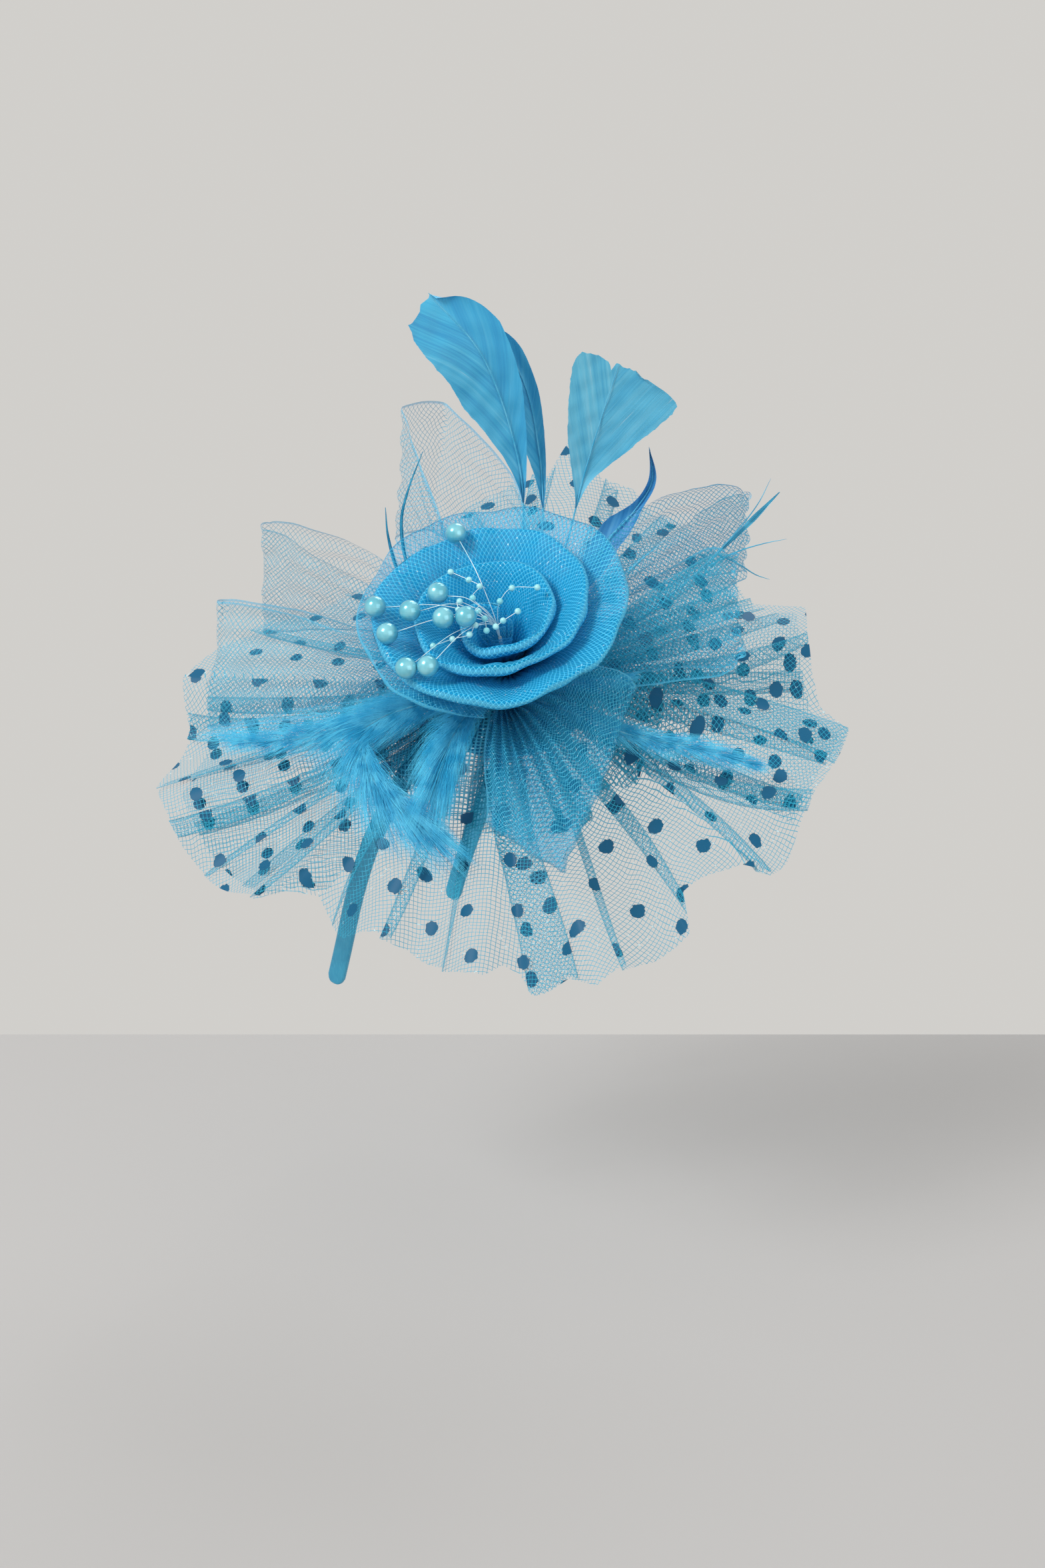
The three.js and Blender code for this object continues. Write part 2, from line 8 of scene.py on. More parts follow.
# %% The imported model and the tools
import math
import random

import bpy
import numpy as np
from mathutils import Matrix, Vector


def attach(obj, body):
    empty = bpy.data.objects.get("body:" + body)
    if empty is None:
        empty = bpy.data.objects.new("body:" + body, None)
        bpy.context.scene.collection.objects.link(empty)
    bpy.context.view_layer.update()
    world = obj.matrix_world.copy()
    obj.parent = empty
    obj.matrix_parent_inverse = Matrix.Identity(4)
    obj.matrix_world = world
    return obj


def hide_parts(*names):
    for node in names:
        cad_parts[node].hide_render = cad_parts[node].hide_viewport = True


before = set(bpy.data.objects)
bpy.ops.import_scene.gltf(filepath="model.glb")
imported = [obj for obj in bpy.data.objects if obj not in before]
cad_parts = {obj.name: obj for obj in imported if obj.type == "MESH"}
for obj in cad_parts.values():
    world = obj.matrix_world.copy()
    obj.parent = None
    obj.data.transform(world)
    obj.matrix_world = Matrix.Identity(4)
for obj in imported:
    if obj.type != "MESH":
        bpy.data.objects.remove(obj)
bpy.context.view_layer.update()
MM = 0.001

# %% [markdown]
# ## The view
# The photo looks down at the headpiece from its right front with a 50 mm lens. The camera stands
# where a ray from each pearl and each ribbon edge passes through the same point of the CAD part.

# %% Camera
AZIMUTH, ELEVATION = math.radians(25), math.radians(18)
back = Vector((math.sin(AZIMUTH) * math.cos(ELEVATION), -math.cos(AZIMUTH) * math.cos(ELEVATION),
               math.sin(ELEVATION)))
bpy.ops.object.camera_add(location=(0.4266, -0.8931, 0.2597))
camera = bpy.context.object
camera.name = "photo_camera"
camera.rotation_mode = "QUATERNION"
camera.rotation_quaternion = (-back).to_track_quat("-Z", "Y")
camera.data.lens = 50
camera.data.sensor_width = 36
camera.data.dof.use_dof = False
camera.data.clip_start, camera.data.clip_end = 0.05, 20
bpy.context.scene.camera = camera
print("camera at", tuple(round(x, 3) for x in camera.location))

# %% [markdown]
# ## The table and the light
# A pale table ends a little behind the headpiece, and a pale plain room shows beyond it, as a
# studio sweep does. The light is soft: one large lamp on the left, a weak one on the right, and the
# room itself.

# %% Table, room and lamps
TABLE_HEIGHT = -0.275
TABLE_EDGE = 1.17


def plain_material(name, colour, roughness):
    made = bpy.data.materials.new(name)
    made.use_nodes = True
    shader = made.node_tree.nodes["Principled BSDF"]
    shader.inputs["Base Color"].default_value = (*colour, 1)
    shader.inputs["Roughness"].default_value = roughness
    return made


away = Vector((-math.sin(AZIMUTH), math.cos(AZIMUTH), 0))
middle = Vector((camera.location.x, camera.location.y, 0)) + away * (TABLE_EDGE - 2.5)
bpy.ops.mesh.primitive_plane_add(size=5, location=(middle.x, middle.y, TABLE_HEIGHT),
                                 rotation=(0, 0, AZIMUTH))
table = bpy.context.object
table.name = "table_top"
bpy.ops.object.transform_apply(location=True, rotation=True, scale=True)
table.data.materials.append(plain_material("table_paper", (0.44, 0.435, 0.435), 0.9))

room = bpy.data.worlds.new("pale_room")
room.use_nodes = True
room.node_tree.nodes["Background"].inputs["Color"].default_value = (0.638, 0.625, 0.600, 1)
room.node_tree.nodes["Background"].inputs["Strength"].default_value = 1.0
bpy.context.scene.world = room


def soft_lamp(name, place, aim, size, watts, colour):
    bpy.ops.object.light_add(type="AREA", location=place)
    lamp = bpy.context.object
    lamp.name = name
    lamp.rotation_mode = "QUATERNION"
    lamp.rotation_quaternion = (Vector(aim) - Vector(place)).to_track_quat("-Z", "Y")
    lamp.data.size = size
    lamp.data.energy = watts
    lamp.data.color = colour
    return lamp


soft_lamp("window_left", (-0.9, -1.5, 1.5), (0, 0, 0.02), 0.8, 34, (1.0, 0.99, 0.97))
soft_lamp("fill_right", (1.6, -0.8, 0.5), (0, 0, 0.0), 1.4, 7, (0.97, 0.99, 1.0))
soft_lamp("top_back", (0.0, 1.2, 1.4), (0, 0, 0.02), 1.0, 12, (1.0, 1.0, 1.0))
bpy.context.scene.view_settings.view_transform = "Standard"
bpy.context.scene.cycles.transparent_max_bounces = 64
print("table at", TABLE_HEIGHT, "m with three soft lamps")

# %% [markdown]
# ## Where the flower sits
# Every part of the flower is easiest to place in the flower's own frame: u to the wearer's front, v
# up and back, n out of the flower. One matrix takes those millimetres to the part's metres.

# %% The flower's frame
FLOWER_AT = Vector((18.4, -31.7, -3.5))
FLOWER_TURN = Matrix.Rotation(math.radians(13), 3, "Z") @ Matrix.Rotation(math.radians(35), 3, "X")
TURN = np.array(FLOWER_TURN)
OUT_OF_FLOWER = Vector(FLOWER_TURN.col[2])


def to_part(points):
    """Points in the flower's frame in millimetres, as points of the part in metres."""
    return (np.asarray(points, dtype=float) @ TURN.T + np.array(FLOWER_AT)) * MM


print("flower points along", tuple(round(x, 2) for x in OUT_OF_FLOWER))

# %% [markdown]
# ## Building sheets
# Ribbon, net and feather vanes are all sheets, so they are made in code: a grid of points, joined by
# quads, with a UV map in metres of the flat cloth. A weave that is drawn in those metres keeps its
# cell size, and gets denser by itself where the cloth is gathered.


# %% Sheet and tube builders
def finish_piece(piece, smooth=True):
    piece.location = (0, 0, 0)
    if smooth:
        piece.data.polygons.foreach_set("use_smooth", [True] * len(piece.data.polygons))
    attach(piece, "root")


def crowding(points, flat, axis):
    """How many times narrower the cloth stands along one way of the grid than it was cut."""
    stood = np.linalg.norm(np.gradient(points, axis=axis), axis=-1)
    cut = np.linalg.norm(np.gradient(flat, axis=axis), axis=-1)
    return np.clip(cut / np.maximum(stood, 1e-7), 1, 8)


def sheet_mesh(name, points, flat, closed=False, material=None, rim=None, crowd=None):
    """points and flat are grids: columns by rows by 3, and by 2. closed joins the last column on.

    rim is each point's distance in metres from the nearest folded or finished edge, and crowd is
    how many times closer its threads lie than in the flat cloth.
    """
    columns, rows = points.shape[:2]
    spans = columns if closed else columns - 1
    i, j = np.meshgrid(np.arange(spans), np.arange(rows - 1), indexing="ij")
    after = (i + 1) % columns
    quads = np.stack([i * rows + j, after * rows + j, after * rows + j + 1, i * rows + j + 1], -1)
    mesh = bpy.data.meshes.new(name)
    mesh.from_pydata(points.reshape(-1, 3).tolist(), [], quads.reshape(-1, 4).tolist())
    uv = mesh.uv_layers.new(name="flat_cloth")
    step = flat[-1:] + (flat[-1:] - flat[-2:-1])
    long_flat = np.concatenate([flat, step], 0) if closed else flat
    corners = np.stack([long_flat[i, j], long_flat[i + 1, j], long_flat[i + 1, j + 1],
                        long_flat[i, j + 1]], 2)
    uv.data.foreach_set("uv", corners.reshape(-1).astype(np.float32))
    for key, value in (("rim", rim), ("crowd", crowd)):
        if value is not None:
            layer = mesh.attributes.new(key, "FLOAT", "POINT")
            spread = np.broadcast_to(value, points.shape[:2]).reshape(-1)
            layer.data.foreach_set("value", spread.astype(np.float32))
    piece = bpy.data.objects.new(name, mesh)
    bpy.context.collection.objects.link(piece)
    if material:
        mesh.materials.append(material)
    return piece


def smooth_line(points, count):
    """A Catmull-Rom line through the points, as count points that lie at even distances."""
    p = np.asarray(points, dtype=float)
    p = np.vstack([2 * p[0] - p[1], p, 2 * p[-1] - p[-2]])
    fine = []
    for a, b, c, d in zip(p, p[1:], p[2:], p[3:]):
        for s in np.linspace(0, 1, 24, endpoint=False):
            fine.append(0.5 * (2 * b + (c - a) * s + (2 * a - 5 * b + 4 * c - d) * s**2
                               + (3 * b - a - 3 * c + d) * s**3))
    fine = np.vstack(fine + [p[-2]])
    gone = np.concatenate([[0], np.cumsum(np.linalg.norm(np.diff(fine, axis=0), axis=1))])
    at = np.linspace(0, gone[-1], count)
    return np.stack([np.interp(at, gone, fine[:, k]) for k in range(fine.shape[1])], 1)


def normalised(vectors):
    return vectors / np.maximum(np.linalg.norm(vectors, axis=-1, keepdims=True), 1e-9)


def mesh_area(piece):
    return sum(face.area for face in piece.data.polygons)


print("builders ready")

# %% [markdown]
# ## Finishes
# The weaves are patterns of alpha on the sheets. A small kit of node helpers keeps each recipe
# short: a number or a socket goes in, a socket comes out.


# %% Node helpers
class Recipe:
    """A material's node tree, with short calls for the nodes that the recipes below use."""

    def __init__(self, name, uv_map=None):
        self.material = bpy.data.materials.new(name)
        self.material.use_nodes = True
        self.tree = self.material.node_tree
        self.shader = self.tree.nodes["Principled BSDF"]
        if uv_map:
            source = self.node("ShaderNodeUVMap")
            source.uv_map = uv_map
            self.place = source.outputs["UV"]
        else:
            self.place = self.node("ShaderNodeTexCoord").outputs["Object"]

    def node(self, kind):
        return self.tree.nodes.new(kind)

    def put(self, socket, value):
        if isinstance(value, bpy.types.NodeSocket):
            self.tree.links.new(value, socket)
        else:
            socket.default_value = value

    def attribute(self, name):
        made = self.node("ShaderNodeAttribute")
        made.attribute_name = name
        return made.outputs["Fac"]

    def math(self, operation, a, b=0.0, c=0.0):
        made = self.node("ShaderNodeMath")
        made.operation = operation
        for socket, value in zip(made.inputs, (a, b, c)):
            self.put(socket, value)
        return made.outputs[0]

    def ramp(self, value, low, high, to_low=0.0, to_high=1.0):
        made = self.node("ShaderNodeMapRange")
        made.interpolation_type = "SMOOTHSTEP"
        for key, given in (("Value", value), ("From Min", low), ("From Max", high),
                           ("To Min", to_low), ("To Max", to_high)):
            self.put(made.inputs[key], given)
        return made.outputs["Result"]

    def split(self, place=None):
        made = self.node("ShaderNodeSeparateXYZ")
        self.put(made.inputs[0], place or self.place)
        return made.outputs["X"], made.outputs["Y"]

    def join(self, x, y, z=0.0):
        made = self.node("ShaderNodeCombineXYZ")
        for socket, value in zip(made.inputs, (x, y, z)):
            self.put(socket, value)
        return made.outputs[0]

    def noise(self, place, scale, detail=2.0, roughness=0.5):
        made = self.node("ShaderNodeTexNoise")
        self.put(made.inputs["Vector"], place)
        made.inputs["Scale"].default_value = scale
        made.inputs["Detail"].default_value = detail
        made.inputs["Roughness"].default_value = roughness
        return made.outputs["Fac"]

    def mix(self, factor, a, b):
        made = self.node("ShaderNodeMix")
        made.data_type = "RGBA"
        self.put(made.inputs["Factor"], factor)
        for key, value in ((6, a), (7, b)):
            self.put(made.inputs[key], (*value, 1) if isinstance(value, tuple) else value)
        return made.outputs[2]

    def bump(self, height, depth):
        made = self.node("ShaderNodeBump")
        made.inputs["Strength"].default_value = 1.0
        made.inputs["Distance"].default_value = depth
        self.put(made.inputs["Height"], height)
        self.tree.links.new(made.outputs["Normal"], self.shader.inputs["Normal"])

    def threads(self, x, y, angle, pitch, width, crowd):
        """Straight threads at an angle across the cloth: 1 on a thread and 0 between two."""
        a = math.radians(angle)
        along = self.math("ADD", self.math("MULTIPLY", x, math.cos(a) / pitch),
                          self.math("MULTIPLY", y, math.sin(a) / pitch))
        off = self.math("PINGPONG", along, 0.5)
        half = self.math("MULTIPLY", crowd, width / pitch / 2)
        return self.ramp(off, self.math("MULTIPLY", half, 0.6), self.math("MULTIPLY", half, 1.4), 1.0, 0.0)

    def finish(self, colour, alpha=None, **fixed):
        self.put(self.shader.inputs["Base Color"], (*colour, 1) if isinstance(colour, tuple) else colour)
        if alpha is not None:
            self.put(self.shader.inputs["Alpha"], alpha)
        for key, value in fixed.items():
            self.shader.inputs[key.replace("_", " ")].default_value = value
        return self.material


print("node helpers ready")

# %% [markdown]
# ### Mesh ribbon
# Crin is woven from clear nylon filament in a lattice of fine diamonds. One layer is nearly clear,
# and many layers are a deep blue, so the filament itself lets some light by. Its glints where the
# filament turns are painted highlights on the threads, and its edges are woven denser.


# %% Mesh ribbon finish
def crin_finish(name, body, film, deep=(0.0, 0.40, 0.76), pale=(0.075, 0.58, 0.84), painted_glint_from=0.66,
                pitch=1.6, thread=0.44, rim_body=0.9, thick=0.45):
    r = Recipe(name, "flat_cloth")
    x, y = r.split()
    crowd = r.attribute("crowd")
    wave = r.noise(r.place, 90, 1.0)
    shift = r.math("MULTIPLY", r.math("SUBTRACT", wave, 0.5), 2.2 * MM)
    x, y = r.math("ADD", x, shift), r.math("ADD", y, shift)
    one = r.threads(x, y, 38, pitch * MM, thread * MM, crowd)
    two = r.threads(x, y, -38, pitch * MM, thread * MM, crowd)
    lattice = r.math("MAXIMUM", one, two)
    knots = r.math("MULTIPLY", one, two)
    # Painted highlight: where this noise is high, glints are mixed towards near-white on the threads and made
    # opaque.
    painted_glint_noise = r.noise(r.place, 760, 1.0)
    drift = r.noise(r.place, 55, 2.0)
    painted_glint_noise = r.math("ADD", painted_glint_noise, r.math("MULTIPLY", r.math("SUBTRACT", drift, 0.5), 0.4))
    painted_glint = r.math("MULTIPLY", r.ramp(painted_glint_noise, painted_glint_from, painted_glint_from + 0.08), lattice)
    dense = r.ramp(crowd, 1.0, 3.2)
    shade = r.math("SUBTRACT", 0.85, r.math("MULTIPLY", dense, 0.6))
    colour = r.mix(r.math("MULTIPLY", lattice, shade), deep, pale)
    # painted highlight on the threads
    colour = r.mix(r.math("MULTIPLY", painted_glint, 0.8), colour, (0.70, 0.94, 1.0))
    rim = r.ramp(r.attribute("rim"), 0.5 * MM, 1.6 * MM, 1.0, 0.0)
    film_here = r.math("MULTIPLY_ADD", dense, thick, film)
    alpha = r.math("MAXIMUM", r.math("MULTIPLY", lattice, body), film_here)
    alpha = r.math("ADD", alpha, r.math("MULTIPLY", knots, 0.2))
    alpha = r.math("MAXIMUM", alpha, r.math("MULTIPLY", rim, rim_body))
    alpha = r.math("MAXIMUM", alpha, r.math("MULTIPLY", painted_glint, 0.8))
    colour = r.mix(r.math("MULTIPLY", rim, 0.6), colour, (0.15, 0.62, 0.86))
    r.bump(lattice, 0.25 * MM)
    return r.finish(colour, alpha, Roughness=0.36, IOR=1.45, Specular_IOR_Level=0.12)


crin_loop = crin_finish("crin_ribbon", 0.62, 0.01, pale=(0.10, 0.54, 0.74), painted_glint_from=0.64, pitch=1.8,
                        thread=0.26, rim_body=0.6)
crin_firm = crin_finish("crin_firm", 0.76, 0.05, pale=(0.06, 0.50, 0.72), painted_glint_from=0.64, pitch=1.8,
                        thread=0.34, rim_body=0.8)
crin_rose = crin_finish("crin_rose", 0.80, 0.12, deep=(0.0, 0.41, 0.82), pale=(0.12, 0.62, 0.86),
                        painted_glint_from=0.67, pitch=1.8, thread=0.28, rim_body=0.7, thick=0.8)
crin_double = crin_finish("crin_doubled", 0.76, 0.20, deep=(0.0, 0.29, 0.58), pale=(0.10, 0.56, 0.78),
                          pitch=1.7, thread=0.30, rim_body=0.6, thick=0.7)
print("mesh ribbon finishes:", crin_loop.name, crin_firm.name, crin_rose.name, crin_double.name)

# %% [markdown]
# ### Net
# The frill is a fine tulle: thin cyan threads in square cells 1.65 mm across, with flocked dots set in
# a staggered field. Only threads and dots are there, so the alpha is the whole pattern.


# %% Net finish
def net_finish(name, cell=1.65, thread=0.2, dot=3.0, field=30.0, dots=1.0):
    r = Recipe(name, "flat_cloth")
    x, y = r.split()
    wave = r.noise(r.place, 45, 2.0)
    shift = r.math("MULTIPLY", r.math("SUBTRACT", wave, 0.5), 5 * MM)
    nx, ny = r.math("ADD", x, shift), r.math("SUBTRACT", y, shift)
    crowd = r.attribute("crowd")
    lattice = r.math("MAXIMUM", r.threads(nx, ny, 33, cell * MM, thread * MM, crowd),
                     r.threads(nx, ny, -52, cell * MM, thread * MM, crowd))
    ragged = r.math("MULTIPLY", r.math("SUBTRACT", r.noise(r.place, 700, 1.0), 0.5), 1.5 * MM)
    nearest = None
    for offset in (0.0, 0.5):
        sides = [r.math("MULTIPLY",
                        r.math("PINGPONG", r.math("MULTIPLY_ADD", s, 1 / (field * MM), offset), 0.5),
                        field * MM) for s in (nx, ny)]
        far = r.math("SQRT", r.math("ADD", r.math("POWER", sides[0], 2.0), r.math("POWER", sides[1], 2.0)))
        nearest = far if nearest is None else r.math("MINIMUM", nearest, far)
    nearest = r.math("ADD", nearest, ragged)
    flock = r.ramp(nearest, (dot - 0.15) * MM, (dot + 0.1) * MM, dots, 0.0)
    # Painted highlight: pale specks on the net threads where this noise is high.
    painted_glint = r.math("MULTIPLY", r.ramp(r.noise(r.place, 500, 1.0), 0.66, 0.74), lattice)
    thread_colour = r.mix(painted_glint, (0.020, 0.36, 0.54), (0.6, 0.92, 1.0))
    colour = r.mix(flock, thread_colour, (0.001, 0.105, 0.22))
    crease = r.ramp(r.attribute("rim"), 0.2 * MM, 1.2 * MM, 0.36, 0.0)
    alpha = r.math("MAXIMUM", r.math("MAXIMUM", r.math("MULTIPLY", lattice, 0.88), crease), flock)
    r.bump(flock, 0.5 * MM)
    return r.finish(colour, alpha, Roughness=0.5, Specular_IOR_Level=0.3)


net = net_finish("dotted_net")
print("net finish:", net.name)

# %% [markdown]
# ### Feather, plume and quill
# A feather vane is hundreds of fine barbs that lie side by side and slant to the tip, so its colour
# and its bump follow slanted streaks. Where barbs have parted, a dark line shows. A plume's barbs
# are modelled one by one, so its finish only has to be soft.


# %% Feather finishes
def vane_finish(name, base, dark, light, slant=2.4):
    r = Recipe(name, "flat_cloth")
    x, y = r.split()
    side = r.math("ABSOLUTE", y)
    along = r.math("SUBTRACT", x, r.math("MULTIPLY", side, slant))
    across = r.math("MULTIPLY", y, 0.16)
    fine = r.noise(r.join(along, across), 1100, 2.0)
    streak = r.noise(r.join(along, across, 0.3), 330, 2.0)
    broad = r.noise(r.join(along, across, 0.7), 95, 1.0)
    tone = r.math("ADD", r.math("MULTIPLY", streak, 0.5), r.math("MULTIPLY", broad, 0.5))
    colour = r.mix(r.ramp(tone, 0.32, 0.52), dark, base)
    colour = r.mix(r.ramp(tone, 0.48, 0.74, 0.0, 0.8), colour, light)
    colour = r.mix(r.ramp(fine, 0.5, 0.7, 0.0, 0.18), colour, light)
    # The right vane is made darker than the left, up to 40 % of the way to the dark tone.
    colour = r.mix(r.ramp(y, 0.0, 3 * MM, 0.0, 0.4), colour, dark)
    quill = r.ramp(side, 0.25 * MM, 0.8 * MM, 0.5, 0.0)
    colour = r.mix(quill, colour, light)
    parted = r.math("MULTIPLY", r.ramp(streak, 0.68, 0.71), r.ramp(side, 8 * MM, 14 * MM))
    r.bump(r.math("ADD", fine, streak), 0.12 * MM)
    return r.finish(colour, r.math("SUBTRACT", 1.0, parted), Roughness=0.48, Sheen_Weight=0.2)


feather_cyan = vane_finish("feather_cyan", (0.045, 0.42, 0.68), (0.018, 0.30, 0.58), (0.14, 0.56, 0.79))
feather_pale = vane_finish("feather_pale", (0.12, 0.51, 0.71), (0.06, 0.40, 0.64), (0.27, 0.64, 0.79))
feather_deep = vane_finish("feather_deep", (0.035, 0.29, 0.62), (0.012, 0.17, 0.46), (0.13, 0.46, 0.75))


def soft_finish(name, dark, light, roughness, scale=140):
    r = Recipe(name)
    tone = r.noise(r.place, scale, 3.0)
    fine = r.noise(r.place, scale * 7, 2.0)
    colour = r.mix(r.ramp(tone, 0.38, 0.62), dark, light)
    r.bump(fine, 0.1 * MM)
    return r.finish(colour, Roughness=roughness)


quill_horn = soft_finish("quill_horn", (0.05, 0.42, 0.66), (0.14, 0.55, 0.76), 0.35)
biot_horn = soft_finish("biot_horn", (0.02, 0.30, 0.50), (0.07, 0.46, 0.68), 0.35)
plume_barb = soft_finish("plume_barb", (0.015, 0.42, 0.72), (0.10, 0.64, 0.90), 0.6)
plume_quill = soft_finish("plume_quill", (0.04, 0.46, 0.70), (0.25, 0.70, 0.86), 0.4)
print("feather and plume finishes ready")

# %% [markdown]
# ### Pearls and threads
# The pearls are coated beads: an aqua body under a clear shiny coat, with painted shade that turns
# each pearl a deeper teal towards its rim. The threads between them are clear and nearly white.


# %% Pearl and thread finishes
def pearl_finish():
    r = Recipe("aqua_pearl")
    cloud = r.noise(r.place, 160, 2.0)
    layer = r.node("ShaderNodeLayerWeight")
    layer.inputs["Blend"].default_value = 0.35
    body = r.mix(r.ramp(cloud, 0.35, 0.65), (0.13, 0.53, 0.66), (0.27, 0.70, 0.81))
    # Painted shade: deeper teal towards the rim, by the Facing of the layer weight.
    colour = r.mix(layer.outputs["Facing"], body, (0.03, 0.34, 0.50))
    r.bump(r.noise(r.place, 900, 2.0), 0.02 * MM)
    return r.finish(colour, Metallic=0.25, Roughness=0.24, Coat_Weight=1.0, Coat_Roughness=0.05)


pearl_coat = pearl_finish()
bead_coat = soft_finish("bead_coat", (0.24, 0.68, 0.76), (0.45, 0.84, 0.88), 0.18)
clear_thread = soft_finish("clear_thread", (0.55, 0.80, 0.86), (0.85, 0.95, 0.97), 0.2)
print("pearl and thread finishes ready")

# %% [markdown]
# ### Felt and satin
# Felt is matted fibre without a weave: short random tufts in the bump and a slightly mottled colour.
# Satin has long floats that run round the band, so it shines in fine lines. Their bump is real,
# and the paler blue mixed in along them is painted sheen.


# %% Felt and satin finishes
def felt_finish():
    r = Recipe("wool_felt")
    tuft = r.noise(r.place, 1400, 4.0, 0.65)
    mottle = r.noise(r.place, 120, 3.0)
    colour = r.mix(r.ramp(mottle, 0.35, 0.65), (0.006, 0.29, 0.58), (0.02, 0.38, 0.68))
    r.bump(tuft, 0.5 * MM)
    return r.finish(colour, Roughness=0.95, Sheen_Weight=0.3, Sheen_Roughness=0.4)


def satin_finish():
    r = Recipe("wrapped_satin")
    place = r.node("ShaderNodeMapping")
    r.put(place.inputs["Vector"], r.place)
    place.inputs["Scale"].default_value = (1.0, 0.12, 0.12)
    lines = r.noise(place.outputs["Vector"], 2600, 2.0)
    broad = r.noise(r.place, 55, 2.0)
    colour = r.mix(r.ramp(broad, 0.35, 0.65), (0.022, 0.27, 0.46), (0.034, 0.34, 0.54))
    # Painted sheen: the fine lines are mixed towards a paler blue; their bump below is real.
    colour = r.mix(r.ramp(lines, 0.45, 0.7, 0.0, 0.25), colour, (0.10, 0.50, 0.68))
    r.bump(lines, 0.05 * MM)
    return r.finish(colour, Roughness=0.34, Sheen_Weight=0.15)


wool_felt, satin = felt_finish(), satin_finish()
print("felt and satin finishes ready")

# %% [markdown]
# ## The dotted frill
# The frill is a flounce of net that is sewn down at its middle, so it stands in some two dozen folds.
# It could be simulated as cloth, but the photo shows where each fold lies, so a table gives each fold's
# place and width. The way round runs on to a fold's far side, back to its near side and on again, and
# that lays three layers of net over each other.

# %% Frill
# Each row: the angle in degrees, how far the rim droops and how far it folds out, in millimetres.
FRILL_TABLE = np.array([
    (-180, -14, 8), (-168, -24, -7), (-157, -26, 7), (-144, -34, -9), (-132, -36, 8), (-120, -36, -8),
    (-110, -36, 7), (-99, -36, -8), (-88, -36, 8), (-77, -36, -8), (-65, -35, 9), (-53, -36, -8),
    (-40, -34, 7), (-27, -32, -8), (-14, -26, 8), (1, -18, -7), (17, -8, 8), (33, -8, -5),
    (50, -5, 4), (68, -2, -7), (87, 0, 8), (108, -14, -5), (130, -24, 4), (154, -14, -6)], dtype=float)
DROOP, FOLD_OUT = 1, 2
# Each row: the angle in degrees and how far out the net is cut there, in millimetres.
CUT_EDGE = np.array([
    (-180, 157), (-172, 155), (-159, 169), (-150, 164), (-138, 153), (-133, 148), (-131, 136),
    (-126, 125), (-116, 133), (-103, 126), (-98, 130), (-90, 137), (-86, 138), (-83, 130), (-80, 132),
    (-78, 141), (-71, 141), (-67, 152), (-58, 143), (-53, 140), (-48, 141), (-44, 124), (-37, 128),
    (-31, 131), (-29, 143), (-25, 146), (-14, 146), (-8, 149), (1, 154), (5, 140), (10, 137),
    (17, 138), (25, 142), (31, 122), (50, 122), (67, 127), (73, 134), (78, 130), (83, 138),
    (87, 160), (91, 126), (100, 138), (108, 134), (120, 120), (130, 108), (142, 112), (154, 120),
    (166, 138)], dtype=float)
HUB, FLAT_RADIUS, HUB_HEIGHT = 6.0, 20.0, 3.7


def fold_value(column, degrees):
    """One column of the fold table at any angle, by a smooth step from row to row."""
    at = (degrees + 180) % 360 - 180
    row = np.searchsorted(FRILL_TABLE[:, 0], at, side="right") - 1
    after = (row + 1) % len(FRILL_TABLE)
    end = np.where(after == 0, 180.0, FRILL_TABLE[after, 0])
    share = (at - FRILL_TABLE[row, 0]) / (end - FRILL_TABLE[row, 0])
    share = (1 - np.cos(np.pi * share)) / 2
    return FRILL_TABLE[row, column] * (1 - share) + FRILL_TABLE[after, column] * share


def cut_edge(degrees):
    """How far the net was cut from the middle: straight cuts from corner to corner."""
    return np.interp((degrees + 180) % 360 - 180, *CUT_EDGE.T, period=360)


def waves(seed, count, low, high):
    """Seeded sine waves round a circle: whole numbers of waves, with phases."""
    dice = random.Random(seed)
    return [(dice.randint(low, high), dice.uniform(0, 2 * math.pi), dice.uniform(0.5, 1))
            for _ in range(count)]


def ripple(angle, parts):
    return sum(size * np.sin(number * angle + phase) for number, phase, size in parts) / len(parts)


# Each fold: its middle and width at the rim, the same half way in, and how far it bows, in degrees.
FOLDS = [(-172, 5, -169, 8, 2), (-161, 3, -158, 6, -2), (-152.5, 4, -150, 7, 1), (-145, 2, -143, 5, -1),
         (-133, 2.5, -137, 6, 2), (-121, 1.5, -125, 6, -3), (-107, 3.5, -112, 7, 3),
         (-94.5, 1.2, -99, 5, 2.5), (-74, 10.5, -84, 15, 4),
         (-61.5, 1.6, -56, 4, -3), (-45, 2, -46, 7, 2.5), (-30, 2, -28, 5, 1.5),
         (-16, 4, -22, 6, -2), (-3, 9, 1, 12, 3), (16, 2, 14, 7, -3), (31, 4, 27, 7, 2), (46, 3, 43, 6, -2),
         (62, 5, 58, 8, 2), (77, 3, 74, 6, -1), (92, 6, 92, 8, 2), (110, 3, 109, 7, -2), (128, 5, 127, 8, 2),
         (146, 3, 145, 7, -1), (165, 4, 165, 7, 2)]


def chance_folds(seed, start, stop):
    """Folds for a layer that the photo hardly shows: spacing and width by seeded chance."""
    dice = random.Random(seed)
    at, folds = start + dice.uniform(4, 7), []
    while at < stop - 6:
        folds.append((at, dice.uniform(2, 6), at + dice.uniform(-3, 3), dice.uniform(6, 9),
                      dice.uniform(-2, 2)))
        at += dice.uniform(10, 17)
    return folds


def zigzag(folds, start, stop, s):
    """The way round, from crease to crease: forward to a fold's far side, back, and on again."""
    far_in = np.clip((1 - s) / 0.5, 0, 1.5)
    lines = [np.full_like(s, start)]
    for middle, width, middle_in, width_in, bow in folds:
        at = middle + (middle_in - middle) * far_in + bow * 4 * s * (1 - s)
        half = (width + (width_in - width) * far_in) / 2
        lines += [at + half, at - half]
    return lines + [np.full_like(s, stop)]


